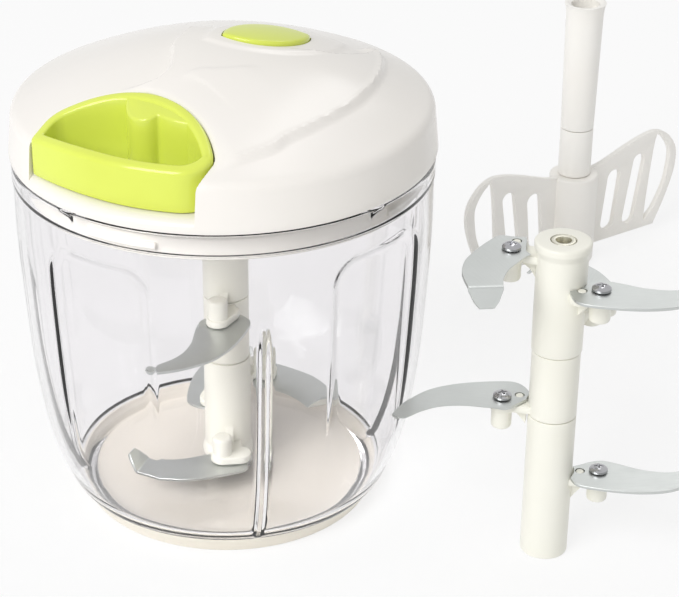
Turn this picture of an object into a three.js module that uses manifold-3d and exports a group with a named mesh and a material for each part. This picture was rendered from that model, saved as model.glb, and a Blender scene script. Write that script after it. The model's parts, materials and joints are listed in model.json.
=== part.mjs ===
// Hand pull food chopper: a clear panelled bowl, a domed lid with a pull handle, a cord reel and a
// spiral return spring inside it, a five blade cutter on the bowl's pivot pin, and beside the bowl
// a second cutter standing on its socket end and a mixing paddle.
// Millimetres, +Z up. The origin is on the bowl's axis at the table, and -Y faces the viewer.

import * as THREE from 'three';
import { mergeVertices } from 'three/addons/utils/BufferGeometryUtils.js';
import Module from 'manifold-3d';

const wasm = await Module();
wasm.setup();

// Fits shared by all pieces
const seatGap = 0.3;          // between pieces that touch
const runGap = 0.6;           // between pieces that move past each other
const overrun = 3;            // how far a cutting solid runs past what it cuts
const weldTolerance = 0.0001; // vertices closer than this are one

// Facets round a full turn, and divisions of an arc in an outline, which give twice as many edges
const fineFacets = 32;
const mediumFacets = 20;
const smallFacets = 12;
const tinyFacets = 8;
const screwFacets = 6;
const longArc = 3;
const shortArc = 2;
const cornerArc = 1;

// Directions seen from above, in degrees from the viewer's side towards the right
const handleDirection = -34;
const buttonChordTurn = 22;
const frontRibDirection = 10;
const panelSpread = 41.25;
const panelMiddle = 4.75;
const nubDirection = 44;

// Bowl
const bowlRimHeight = 117.4;
const bowlRimRadius = 64.5;
const bowlWall = 2.4;
const bowlFloorTop = 5.8;
const bowlUnderside = 2.3;
const rimLipHeight = 1.5;
const rimLipWidth = 0.6;
const panelHalfAngle = 17.5;
const panelTop = bowlRimHeight - 12.4;
const panelBottom = 24;
const panelCornerRadius = 10;
const panelDepth = 1.1;
const ribWidth = 2.4;
const ribDepth = 2.2;
const ribTop = bowlRimHeight - 27.4;
const nubLength = 8;
const nubHeight = 3;
const nubReach = 1.9;
const nubMiddle = bowlRimHeight - 3.1;
const bossRadius = 5.5;
const bossFootRadius = 9;
const bossTop = 8.5;
const shoulderOverhang = 0.9;

// Base pad
const padThickness = 2;
const padFootRadius = 46.5;
const padRimRadius = 50;
const padHeight = 6.8;
const padWall = 1.8;
const padEdge = 0.6;

// Pivot pin of the bowl
const pinRadius = 2;
const pinBottom = 4.3;
const pinTop = 22;

// Lid shells
const lidOverhang = 0.5;
const lidRadius = bowlRimRadius + lidOverhang;
const lidEdge = bowlRimHeight + seatGap * 2;
const lidWallHeight = 13.6;
const domeHeight = 18.4;
const domePower = 1.72;
const coverWall = 2;
const platformRise = 0.8;
const basePlateLift = 0.9;
const basePlateThickness = 1.5;
const skirtDrop = 7.4;
const skirtInset = 4.8;
const basePlateBottom = lidEdge + basePlateLift;
const basePlateTop = basePlateBottom + basePlateThickness;
const skirtBottom = lidEdge - skirtDrop;
const skirtRadius = bowlRimRadius - skirtInset;
const skirtWall = 2;
const rampAngle = 22;
const rampHeight = 1.9;
const rampReach = 1.5;
const rampLift = 0.3;
const lockAngle = 20;
const coverBossCircle = 45;
const coverBossRadius = 4;
const housingPostCircle = 32;
const housingPostRadius = 2.8;
const screwRadius = 1.4;
const screwHeadRadius = 2.8;
const screwHeadHeight = 1.6;
const coverScrewLength = 9;

// Handle and its recess
const handleBack = 33.5;
const handleSetback = 4;
const handleFront = lidRadius - handleSetback;
const handleHalfWidth = 28.5;
const handleBackRadius = 36.8;
const handleBackCorner = 6;
const handleLeftCorner = 2.2;
const handleRightCorner = 7;
const handleLift = 4.5;
const handleRimRise = 1.3;
const handleBottom = lidEdge + handleLift;
const handleWall = 3.2;
const handleRimRound = 1.1;
const recessWall = 1.5;
const anchorLeft = 8;
const anchorValley = 5.2;
const anchorRight = 12.5;
const anchorReach = 7.6;
const cordLift = 3.8;
const cordHeight = handleBottom + cordLift;

// Cord, reel and return spring
const cordRadius = 0.9;
const cordHoleRadius = 1.5;
const knotRadius = 2.2;
const windingRadius = 19.4;
const drumRadius = 17;
const reelFlangeRadius = 28.5;
const reelLift = 3.8;
const reelBottom = lidEdge + reelLift;
const reelHubRadius = 8;
const flangeLift = 0.5;
const lowerFlangeBottom = reelBottom + flangeLift;
const flangeThickness = 1.2;
const drumHeight = 5.5;
const housingLift = 13.2;
const housingBottom = lidEdge + housingLift;
const housingFloor = 1;
const housingRadius = 24.2;
const housingWall = 1.6;
const housingHeight = 6.2;
const housingTop = housingBottom + housingHeight;
const housingCapThickness = 1;
const springStripHeight = 4.4;
const springStripThickness = 0.4;
const springInnerRadius = 4.6;
const springOuterRadius = 21.6;
const springTurns = 3;
const springStepsPerTurn = 12;

// Drive shaft and its bush
const collarRadius = 6.6;
const bushWall = 1.5;
const bushFlangeRadius = 10.5;
const bushFlangeThickness = 0.8;
const bushDrop = 2.1;
const bushBottom = lidEdge - bushDrop;
const shaftCoreRadius = 2.9;
const shaftWingRadius = 4.8;
const shaftWingWidth = 3;
const collarDrop = 2.6;
const wingLength = 12.9;
const collarBottom = lidEdge - collarDrop;
const shaftBottom = collarBottom - wingLength;
const reelKeyRadius = 4.6;
const shaftTipRadius = 3.6;
const shaftRise = 19;
const shaftTop = lidEdge + shaftRise;

// Lock button
const buttonX = 13.6;
const buttonY = 8.2;
const buttonLength = 28.6;
const buttonWidth = 19;
const buttonProud = 1;
const buttonTravel = 2;
const buttonDepth = 3.6;
const buttonFlange = 1.4;
const buttonFit = 0.4;
const buttonLegX = 24.4;
const buttonLegY = 11;
const buttonLegRadius = 1.5;
const buttonLegLift = 14.8;
const buttonLegBottom = lidEdge + buttonLegLift;
const coilRadius = 3;
const coilWireRadius = 0.3;
const coilTurns = 3;
const coilStepsPerTurn = 8;
const coilSides = 4;
const platformX = 16.5;
const platformY = 9.6;
const platformLength = 46;
const platformWidth = 29;

// Cutter unit, measured up from its bottom face as it stands in the bowl
const cutterHeadroom = 11.4;
const cutterLength = bowlRimHeight - cutterHeadroom;
const capRadius = 8.4;
const capHeight = 3.8;
const postRadius = 7.2;
const lowerPostLength = 35.5;
const middlePostLength = 22;
const spigotRadius = 4.4;
const spigotLength = 6;
const socketRadius = 5.3;
const socketDepth = 14;
const socketRibWidth = 2.6;
const socketRibReach = 1.9;
const bearingRadius = 3.6;
const bearingLength = 12;
const bearingBore = 2.3;
const bladeThickness = 0.9;
const armThickness = 2.4;
const armRadius = 3.7;
const armWebWidth = 2.4;
const armWebDepth = 6;
const screwBossRadius = 3.1;
const screwBossLength = 8.6;
const pegPitch = 5.5;
const pegRadius = 1.2;
const bladeScrewRadius = 1.3;
const bladeScrewHeadRadius = 2.6;
const bladeScrewHeadHeight = 1.5;
const bladeScrewLength = 6;
const longBladeReach = 35;
const longBladeWidth = 11.2;
const shortBladeReach = 27;
const shortBladeWidth = 10.2;
const shortTipLength = 6;
const shortTipBend = 50;

// Places of the two loose pieces on the table
const spareX = 97;
const spareY = -47;
const spareTurn = 0;
const paddleX = 135;
const paddleY = 150;
const paddleTurn = -58.5;
const cutterTurn = -110;

// Mixing paddle
const paddleHubRadius = 9.3;
const paddleHubHeight = 37;
const paddleHubEdge = 2.2;
const vaneReach = 52.3;
const vaneHeight = 45;
const vaneThickness = 2;
const lowerStemRadius = 6.2;
const upperStemRadius = 6.9;
const stemMouthRadius = 7.7;
const stemMouthLength = 6;
const stemJoint = 56;

// Outlines as shares of the sizes that they follow
const bowlOutlineShares = [
  [0, 0], [0.044, 0.184], [0.128, 0.434], [0.257, 0.647], [0.468, 0.853], [0.734, 0.99], [1, 1],
];
const domeRadiusShares = [0.96, 0.87, 0.73, 0.56, 0.37, 0.18];
const innerDomeRadiusShares = [0.93, 0.75, 0.5, 0.25];
const longBladeConvexShares = [
  [-0.257, 0.54], [-0.114, 0.76], [0.114, 0.95], [0.343, 1], [0.571, 0.9], [0.8, 0.5], [0.957, 0.05],
];
const longBladeTipShares = [[1, -0.14], [0.966, -0.32], [0.894, -0.34]];
const longBladeConcaveShares = [
  [0.743, -0.125], [0.571, -0.02], [0.371, -0.11], [0.171, -0.39], [0.057, -0.54], [-0.07, -0.4],
];
const longBladeRootShares = [[-0.257, -0.27]];
const shortBladeConvexShares = [
  [-0.263, 0.58], [-0.085, 0.765], [0.185, 0.93], [0.44, 1], [0.69, 0.88], [0.84, 0.71], [1, 0.44],
];
const shortBladeConcaveShares = [
  [0.85, -0.44], [0.7, -0.33], [0.49, -0.3], [0.296, -0.4], [0.126, -0.52], [-0.02, -0.42],
];
const shortBladeRootShares = [[-0.33, -0.24]];
const shortTipNarrowShare = 0.55;
const vaneOutlineShares = [
  [0.818, 0.089], [0.908, 0.3], [0.981, 0.533], [1, 0.7], [0.975, 0.822], [0.889, 0.944], [0.784, 1],
  [0.669, 0.993], [0.507, 0.944], [0.249, 0.844],
];
const vaneRootShares = [[0.1, 0.82], [0.1, 0.089]];
const outerSlotShares = [
  [0.772, 0.9], [0.836, 0.93], [0.918, 0.8], [0.931, 0.676], [0.899, 0.464], [0.817, 0.274],
  [0.76, 0.2], [0.717, 0.21],
];
const innerSlotsShares = [
  { top: 0.623, foot: 0.554, topHeight: 0.758, footHeight: 0.243, half: 0.0563 },
  { top: 0.384, foot: 0.345, topHeight: 0.671, footHeight: 0.253, half: 0.0618 },
];

// Blades of a cutter: level above its bottom face, and the screw's place and the blade's heading
const blades = [
  { kind: 'short', level: 4.5, screwRadius: 14.7, screwAngle: 102, heading: 24 },
  { kind: 'long', level: 13, screwRadius: 13, screwAngle: -53, heading: -88 },
  { kind: 'short', level: 23, screwRadius: 14.7, screwAngle: 231, heading: 153 },
  { kind: 'long', level: 54, screwRadius: 15, screwAngle: 100, heading: 77 },
  { kind: 'long', level: 78, screwRadius: 15, screwAngle: -83, heading: -86 },
];

const radians = THREE.MathUtils.degToRad;

// Geometry helpers

// Signed volume of an indexed geometry, negative when its faces point inwards.
function signedVolume(geometry) {
  const position = geometry.attributes.position;
  const index = geometry.index;
  const a = new THREE.Vector3();
  const b = new THREE.Vector3();
  const c = new THREE.Vector3();
  let sixth = 0;
  for (let i = 0; i < index.count; i += 3) {
    a.fromBufferAttribute(position, index.getX(i));
    b.fromBufferAttribute(position, index.getX(i + 1));
    c.fromBufferAttribute(position, index.getX(i + 2));
    sixth += a.dot(b.cross(c));
  }
  return sixth;
}

// One closed body: shared vertices are merged, empty triangles dropped, faces turned outwards.
function closed(geometry) {
  const bare = geometry.clone();
  bare.deleteAttribute('normal');
  bare.deleteAttribute('uv');
  const welded = mergeVertices(bare, weldTolerance);
  const from = welded.index.array;
  const kept = [];
  for (let i = 0; i < from.length; i += 3) {
    const [a, b, c] = [from[i], from[i + 1], from[i + 2]];
    if (a !== b && b !== c && c !== a) kept.push(a, b, c);
  }
  welded.setIndex(kept);
  if (signedVolume(welded) < 0) {
    for (let i = 0; i < kept.length; i += 3) {
      [kept[i], kept[i + 1]] = [kept[i + 1], kept[i]];
    }
    welded.setIndex(kept);
  }
  return welded;
}

function solidOf(geometry) {
  const body = closed(geometry);
  const vertProperties = Float32Array.from(body.attributes.position.array);
  const triVerts = Uint32Array.from(body.index.array);
  return new wasm.Manifold(new wasm.Mesh({ numProp: 3, vertProperties, triVerts }));
}

function geometryOf(solid) {
  const mesh = solid.getMesh();
  const geometry = new THREE.BufferGeometry();
  geometry.setAttribute('position', new THREE.BufferAttribute(mesh.vertProperties, mesh.numProp));
  geometry.setIndex(new THREE.BufferAttribute(mesh.triVerts, 1));
  return geometry;
}

function joined(solids) {
  return solids.reduce((whole, piece) => whole.add(piece));
}

// A profile of [radius, height] points turned about +Z.
function turned(profile, facets) {
  const points = profile.map(([radius, height]) => new THREE.Vector2(radius, height));
  const geometry = new THREE.LatheGeometry(points, facets);
  geometry.rotateX(radians(90));
  return geometry;
}

function disc(radius, bottom, top, facets) {
  return turned([[0, bottom], [radius, bottom], [radius, top], [0, top]], facets);
}

function ring(inner, outer, bottom, top, facets) {
  return turned([[inner, bottom], [outer, bottom], [outer, top], [inner, top], [inner, bottom]], facets);
}

// A flat outline standing up from one height to another.
function prism(shape, bottom, top, curveSegments) {
  const geometry = new THREE.ExtrudeGeometry(shape, {
    depth: top - bottom, bevelEnabled: false, curveSegments,
  });
  geometry.translate(0, 0, bottom);
  return geometry;
}

function box(width, depth, height, x, y, bottom) {
  const geometry = new THREE.BoxGeometry(width, depth, height);
  geometry.translate(x, y, bottom + height / 2);
  return geometry;
}

// A direction in degrees from the viewer's side as a turn about +Z that carries +X to it.
function turnTo(direction) {
  return radians(direction - 90);
}

// Moves a geometry out along +X and round to a direction.
function moved(geometry, radius, direction) {
  geometry.translate(radius, 0, 0);
  geometry.rotateZ(turnTo(direction));
  return geometry;
}

function atDirection(radius, direction) {
  const angle = turnTo(direction);
  return [radius * Math.cos(angle), radius * Math.sin(angle)];
}

function vectors(shares, length, width) {
  return shares.map(([along, across]) => new THREE.Vector2(along * length, across * width));
}

// Bowl

function bowlOutline(inset) {
  const foot = padRimRadius + shoulderOverhang;
  const shoulder = padHeight + seatGap;
  return bowlOutlineShares.map(([up, out]) => [
    foot + out * (bowlRimRadius - foot) - inset, shoulder + up * (bowlRimHeight - shoulder),
  ]);
}

// A standing rounded rectangle that reaches out through the wall where a panel lies.
function panelPlug(direction) {
  const half = bowlRimRadius * Math.sin(radians(panelHalfAngle));
  const top = panelTop;
  const bottom = panelBottom;
  const corner = panelCornerRadius;
  const shape = new THREE.Shape();
  shape.moveTo(-half + corner, bottom);
  shape.lineTo(half - corner, bottom);
  shape.absarc(half - corner, bottom + corner, corner, radians(-90), 0);
  shape.absarc(half - corner, top - corner, corner, 0, radians(90));
  shape.absarc(corner - half, top - corner, corner, radians(90), radians(180));
  shape.absarc(corner - half, bottom + corner, corner, radians(180), radians(270));
  const geometry = prism(shape, bowlRimRadius / 2, bowlRimRadius + overrun, shortArc);
  geometry.rotateX(radians(90));
  geometry.rotateZ(radians(direction));
  return solidOf(geometry);
}

function bowlSolid() {
  const outline = bowlOutline(0);
  const footRadius = padFootRadius - padWall - seatGap;
  const stepRadius = padRimRadius - padWall - seatGap;
  const body = (inset) => turned([
    [0, bowlUnderside], [footRadius - inset, bowlUnderside],
    [stepRadius - inset, padHeight + seatGap],
    ...bowlOutline(inset), [0, bowlRimHeight],
  ], fineFacets);
  const inner = (inset) => {
    const wall = outline.slice(1).map(([radius, height]) => [radius - bowlWall - inset, height]);
    const rimInner = bowlRimRadius - bowlWall - inset;
    wall.splice(wall.length - 1, 1,
      [rimInner, bowlRimHeight - rimLipHeight],
      [rimInner - rimLipWidth, bowlRimHeight - rimLipHeight + rimLipWidth],
      [rimInner - rimLipWidth, bowlRimHeight + overrun]);
    return turned([
      [0, bossTop], [bossRadius, bossTop], [bossFootRadius, bowlFloorTop],
      [padFootRadius - bossFootRadius, bowlFloorTop],
      [padRimRadius - bowlWall * 2, bowlFloorTop + bowlWall], ...wall, [0, bowlRimHeight + overrun],
    ], fineFacets);
  };
  let shell = solidOf(body(0));
  let hollow = solidOf(inner(0));
  const deepBody = solidOf(body(panelDepth));
  const panelDirections = [
    panelMiddle - panelSpread, panelMiddle + panelSpread,
    panelMiddle - panelSpread + 180, panelMiddle + panelSpread + 180,
  ];
  for (const direction of panelDirections) {
    shell = shell.subtract(panelPlug(direction).subtract(deepBody));
  }
  const ribZone = solidOf(body(bowlWall / 2)).subtract(solidOf(inner(ribDepth)));
  for (let i = 0; i < 4; i += 1) {
    const fin = box(bowlRimRadius, ribWidth, ribTop - bowlFloorTop, bowlRimRadius / 2, 0, bowlFloorTop);
    fin.rotateZ(turnTo(frontRibDirection + i * 90));
    hollow = hollow.subtract(solidOf(fin).intersect(ribZone));
    const nub = new THREE.SphereGeometry(1, tinyFacets, screwFacets - 2);
    nub.scale(nubReach, nubLength / 2, nubHeight / 2);
    nub.translate(bowlRimRadius - bowlWall + seatGap, 0, nubMiddle);
    nub.rotateZ(turnTo(nubDirection + i * 90));
    hollow = hollow.subtract(solidOf(nub));
  }
  const pinHole = solidOf(disc(pinRadius + seatGap, pinBottom - seatGap, pinTop, smallFacets));
  return shell.subtract(hollow).subtract(pinHole);
}

function basePad() {
  return turned([
    [0, 0], [padFootRadius - padEdge, 0], [padFootRadius, padEdge], [padRimRadius, padHeight],
    [padRimRadius - padWall, padHeight], [padFootRadius - padWall, padThickness], [0, padThickness],
  ], fineFacets);
}

function pivotPin() {
  return turned([
    [0, pinBottom], [pinRadius, pinBottom], [pinRadius, pinTop - pinRadius / 2],
    [pinRadius / 2, pinTop], [0, pinTop],
  ], smallFacets);
}

// Lid

function domeZ(radius, lift) {
  const share = Math.min(radius / lidRadius, 1);
  return lidEdge + lidWallHeight + domeHeight * (1 - share ** domePower) + lift;
}

// The whole lid's outer form as one filled solid, grown or shrunk by a lift of its dome.
function domeSolid(lift, radius, bottom, facets, shares = domeRadiusShares) {
  const dome = shares.map((share) => [share * radius, domeZ(share * radius, lift)]);
  return solidOf(turned([
    [0, bottom], [radius, bottom], [radius, domeZ(radius, lift)], ...dome, [0, domeZ(0, lift)],
  ], facets));
}

// The filled space below the cover's inner face, or below a face parallel to it.
function innerDomeSolid(lift) {
  const radius = lidRadius - coverWall;
  return domeSolid(lift, radius, lidEdge - overrun, fineFacets, innerDomeRadiusShares);
}

// A pointed eye outline about the origin, its long axis along +X.
function eyeShape(length, width) {
  const half = length / 2;
  const rise = width / 2;
  const radius = (half * half + rise * rise) / (2 * rise);
  const sweep = Math.asin(half / radius);
  const shape = new THREE.Shape();
  shape.moveTo(-half, 0);
  shape.absarc(0, radius - rise, radius, radians(-90) - sweep, radians(-90) + sweep);
  shape.absarc(0, rise - radius, radius, radians(90) - sweep, radians(90) + sweep);
  return shape;
}

function eyePrism(length, width, x, y, bottom, top) {
  const geometry = prism(eyeShape(length, width), bottom, top, shortArc);
  geometry.rotateZ(radians(buttonChordTurn));
  geometry.translate(x, y, 0);
  return solidOf(geometry);
}

// The handle's outline in plan: an arc at the front, straight ends and a shallow arc at the back,
// with rounded corners. The pull direction is +X here and turns to its place later.
function handlePath(grow, open) {
  const half = handleHalfWidth + grow;
  const front = handleFront + grow;
  const backRadius = handleBackRadius + grow;
  const backCentre = handleBack + handleBackRadius;
  const backCorner = handleBackCorner + grow;
  const leftCorner = handleLeftCorner + grow;
  const rightCorner = handleRightCorner + grow;
  const backSweep = Math.asin((half - backCorner) / (backRadius - backCorner));
  const backCornerX = backCentre - (backRadius - backCorner) * Math.cos(backSweep);
  const leftSweep = Math.asin((half - leftCorner) / (front - leftCorner));
  const rightSweep = Math.asin((half - rightCorner) / (front - rightCorner));
  const leftCornerX = (front - leftCorner) * Math.cos(leftSweep);
  const rightCornerX = (front - rightCorner) * Math.cos(rightSweep);
  const shape = new THREE.Shape();
  if (open) {
    shape.moveTo(lidRadius + overrun, -half);
    shape.lineTo(lidRadius + overrun, half);
  } else {
    shape.absarc(leftCornerX, leftCorner - half, leftCorner, radians(-90), -leftSweep);
    shape.absarc(0, 0, front, -leftSweep, rightSweep);
    shape.absarc(rightCornerX, half - rightCorner, rightCorner, rightSweep, radians(90));
  }
  shape.absarc(backCornerX, half - backCorner, backCorner, radians(90), radians(180) - backSweep);
  shape.absarc(backCentre, 0, backRadius, radians(180) - backSweep, radians(180));
  shape.absarc(backCentre, 0, backRadius, radians(180), radians(180) + backSweep);
  shape.absarc(backCornerX, backCorner - half, backCorner, radians(180) + backSweep, radians(270));
  return shape;
}

function toHandle(geometry) {
  geometry.rotateZ(turnTo(handleDirection));
  return geometry;
}

function lidCover() {
  const top = lidEdge + lidWallHeight + domeHeight + overrun;
  const floorTop = handleBottom - seatGap;
  const floorBottom = floorTop - recessWall;
  let outer = domeSolid(0, lidRadius, lidEdge, fineFacets);
  const raised = domeSolid(platformRise, lidRadius, lidEdge, fineFacets);
  const platform = eyePrism(platformLength, platformWidth, platformX, platformY, lidEdge, top);
  outer = outer.add(raised.intersect(platform));
  const recess = solidOf(toHandle(prism(handlePath(runGap, true), floorTop, top, shortArc)));
  const kept = solidOf(toHandle(
    prism(handlePath(runGap + recessWall, true), floorBottom, top, shortArc),
  ));
  let inner = innerDomeSolid(-coverWall);
  inner = inner.subtract(kept);
  for (const direction of coverBossDirections()) {
    const boss = disc(coverBossRadius, basePlateTop + seatGap, top, smallFacets);
    const hole = disc(
      screwRadius + seatGap, lidEdge, basePlateTop + coverScrewLength + seatGap, screwFacets,
    );
    moved(boss, coverBossCircle, direction);
    moved(hole, coverBossCircle, direction);
    inner = inner.subtract(solidOf(boss)).add(solidOf(hole));
  }
  const opening = eyePrism(
    buttonLength + buttonFit * 2, buttonWidth + buttonFit * 2, buttonX, buttonY, lidEdge, top,
  );
  const cordHole = new THREE.CylinderGeometry(
    cordHoleRadius + seatGap * 3, cordHoleRadius + seatGap * 3, recessWall * 6, smallFacets,
  );
  cordHole.rotateZ(radians(90));
  cordHole.translate(handleBack - runGap, 0, cordHeight);
  return outer.subtract(inner).subtract(recess).subtract(opening)
    .subtract(solidOf(toHandle(cordHole)));
}

function lidBase() {
  const plateRadius = lidRadius - coverWall - seatGap;
  const boreRadius = collarRadius + seatGap + bushWall + seatGap;
  const plate = solidOf(ring(boreRadius, plateRadius, basePlateBottom, basePlateTop, fineFacets));
  const skirt = solidOf(
    ring(skirtRadius - skirtWall, skirtRadius, skirtBottom, basePlateTop - seatGap, fineFacets),
  );
  const neck = solidOf(
    ring(boreRadius, boreRadius + skirtWall, bushBottom, basePlateTop - seatGap, mediumFacets),
  );
  let base = joined([plate, skirt, neck]);
  for (let i = 0; i < 4; i += 1) {
    const start = radians(90 * i);
    const ramp = new THREE.Shape();
    ramp.absarc(0, 0, skirtRadius + rampReach, start, start + radians(rampAngle));
    ramp.absarc(0, 0, skirtRadius - skirtWall / 2, start + radians(rampAngle), start, true);
    const body = prism(ramp, skirtBottom + rampLift, skirtBottom + rampLift + rampHeight, shortArc);
    body.rotateZ(turnTo(nubDirection + nubLength - runGap * 4));
    base = base.add(solidOf(body));
  }
  for (const { circle, direction } of lidScrewPlaces()) {
    const hole = disc(screwRadius + seatGap, skirtBottom, basePlateTop + overrun, screwFacets);
    base = base.subtract(solidOf(moved(hole, circle, direction)));
  }
  return base;
}

function coverBossDirections() {
  return [-100, 0, 100].map((offset) => handleDirection + 180 + offset);
}

function housingPostDirections() {
  return [-76, 14, 104].map((offset) => handleDirection + 180 + offset);
}

// Places of the three cover screws and the three spring housing screws.
function lidScrewPlaces() {
  return [
    ...coverBossDirections().map((direction) => ({ circle: coverBossCircle, direction })),
    ...housingPostDirections().map((direction) => ({ circle: housingPostCircle, direction })),
  ];
}

function lidScrew({ circle, direction }) {
  const seat = basePlateBottom - seatGap;
  const end = basePlateTop + coverScrewLength;
  const screw = turned([
    [0, seat - screwHeadHeight], [screwHeadRadius, seat - screwHeadHeight / 2],
    [screwHeadRadius, seat], [screwRadius, seat], [screwRadius, end], [0, end],
  ], screwFacets);
  return moved(screw, circle, direction);
}

function lidGasket() {
  return ring(
    skirtRadius + seatGap, lidRadius - coverWall - seatGap, bowlRimHeight + seatGap,
    basePlateBottom - seatGap, fineFacets,
  );
}

// Handle

// A ring whose section follows the handle's outline: its rim goes down to the front with the dome,
// and stands a little proud of it.
function handleRing() {
  const outline = handlePath(0, false).getPoints(shortArc);
  const path = outline.filter((point, i) => {
    const next = outline[(i + 1) % outline.length];
    return point.distanceTo(next) > weldTolerance;
  });
  const sections = path.map((point, i) => {
    const before = path[(i + path.length - 1) % path.length];
    const after = path[(i + 1) % path.length];
    const tangent = after.clone().sub(before).normalize();
    const inward = new THREE.Vector2(-tangent.y, tangent.x);
    const at = (inset) => point.clone().addScaledVector(inward, inset);
    const rim = (inset, drop) => {
      const place = at(inset);
      return [place.x, place.y, domeZ(place.length(), handleRimRise - drop)];
    };
    const foot = (inset, lift) => {
      const place = at(inset);
      return [place.x, place.y, handleBottom + lift];
    };
    return [
      foot(handleRimRound, 0), foot(0, handleRimRound), rim(0, handleRimRound),
      rim(handleRimRound, 0), rim(handleWall - handleRimRound, 0), rim(handleWall, handleRimRound),
      foot(handleWall, 0),
    ];
  });
  const count = sections[0].length;
  const position = sections.flat(2);
  const index = [];
  sections.forEach((section, i) => {
    const next = (i + 1) % sections.length;
    for (let j = 0; j < count; j += 1) {
      const k = (j + 1) % count;
      index.push(i * count + j, next * count + j, next * count + k);
      index.push(i * count + j, next * count + k, i * count + k);
    }
  });
  const geometry = new THREE.BufferGeometry();
  geometry.setAttribute('position', new THREE.Float32BufferAttribute(position, 3));
  geometry.setIndex(index);
  return solidOf(geometry);
}

// The cord anchor on the inside of the back wall: a block with two upright swells, level with the
// rim.
function handleAnchor() {
  const back = handleBack + handleWall * 0.8;
  const wallFace = handleBack + handleWall;
  const front = wallFace + anchorReach;
  const plan = new THREE.Shape();
  plan.moveTo(back, -anchorLeft);
  plan.lineTo(wallFace + handleRimRound, -anchorLeft);
  plan.quadraticCurveTo(front, -anchorLeft / 2, front, 0);
  plan.quadraticCurveTo(front, anchorValley * 0.8, wallFace + anchorReach / 2, anchorValley);
  plan.quadraticCurveTo(wallFace + anchorReach * 0.65, anchorRight * 0.8, wallFace, anchorRight);
  plan.lineTo(back, anchorRight);
  plan.closePath();
  const block = prism(plan, handleBottom, domeZ(handleBack, handleRimRise), longArc + cornerArc);
  const rise = handleRimRise - handleRimRound / 4;
  return solidOf(block).intersect(domeSolid(rise, lidRadius, handleBottom, fineFacets));
}

function knotCentre() {
  return handleBack + handleWall + anchorReach / 2;
}

function pullHandle() {
  const knotCell = disc(
    knotRadius + seatGap, handleBottom - overrun, cordHeight + knotRadius + seatGap, tinyFacets,
  );
  knotCell.translate(knotCentre(), 0, 0);
  const bore = new THREE.CylinderGeometry(
    cordHoleRadius, cordHoleRadius, knotCentre() - handleBack + overrun, tinyFacets,
  );
  bore.rotateZ(radians(90));
  bore.translate((knotCentre() + handleBack - overrun) / 2, 0, cordHeight);
  const handle = handleRing().add(handleAnchor()).subtract(solidOf(knotCell)).subtract(solidOf(bore));
  return toHandle(geometryOf(handle));
}

function cordKnot() {
  const knot = new THREE.SphereGeometry(knotRadius, tinyFacets, tinyFacets / 2);
  knot.translate(knotCentre(), 0, cordHeight);
  return toHandle(knot);
}

// The cord from the winding's edge through the eyelet to the knot.
function pullCord() {
  const leave = windingRadius + cordRadius + seatGap;
  const bend = handleBack - runGap - recessWall * 3;
  const angle = Math.acos(leave / bend);
  const route = new THREE.CurvePath();
  const start = new THREE.Vector3(leave * Math.cos(angle), leave * Math.sin(angle), cordHeight);
  const turn = new THREE.Vector3(bend, 0, cordHeight);
  const end = new THREE.Vector3(knotCentre() - knotRadius - seatGap, 0, cordHeight);
  const before = start.clone().lerp(turn, 0.8);
  const after = turn.clone().lerp(end, 0.1);
  route.add(new THREE.LineCurve3(start, before));
  route.add(new THREE.QuadraticBezierCurve3(before, turn, after));
  route.add(new THREE.LineCurve3(after, end));
  const section = new THREE.Shape();
  section.absarc(0, 0, cordRadius, 0, radians(360));
  const cord = new THREE.ExtrudeGeometry(section, { steps: 12, extrudePath: route, curveSegments: 4 });
  return toHandle(cord);
}

function cordEyelet() {
  const back = handleBack - runGap - recessWall;
  const front = handleBack - runGap;
  const tube = cordHoleRadius + seatGap * 2;
  const lip = tube + seatGap * 3;
  const eyelet = turned([
    [cordHoleRadius, back - recessWall], [lip, back - recessWall], [lip, back - seatGap],
    [tube, back - seatGap], [tube, front], [cordHoleRadius, front], [cordHoleRadius, back - recessWall],
  ], tinyFacets);
  eyelet.rotateY(radians(90));
  eyelet.translate(0, 0, cordHeight);
  return toHandle(eyelet);
}

// Reel, spring and drive

function reelTop() {
  return lowerFlangeBottom + flangeThickness * 2 + drumHeight;
}

function cordReel() {
  const drumBottom = lowerFlangeBottom + flangeThickness;
  const drumTop = drumBottom + drumHeight;
  const body = solidOf(turned([
    [0, reelBottom], [reelHubRadius, reelBottom], [reelHubRadius, lowerFlangeBottom],
    [reelFlangeRadius, lowerFlangeBottom], [reelFlangeRadius, drumBottom], [drumRadius, drumBottom],
    [drumRadius, drumTop], [reelFlangeRadius, drumTop], [reelFlangeRadius, reelTop()], [0, reelTop()],
  ], mediumFacets));
  const key = disc(reelKeyRadius + seatGap, reelBottom - overrun, reelTop() + overrun, 6);
  return body.subtract(solidOf(key));
}

function cordWinding() {
  const bottom = lowerFlangeBottom + flangeThickness + seatGap;
  return ring(drumRadius + seatGap, windingRadius, bottom, bottom + drumHeight - seatGap * 2, mediumFacets);
}

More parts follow.
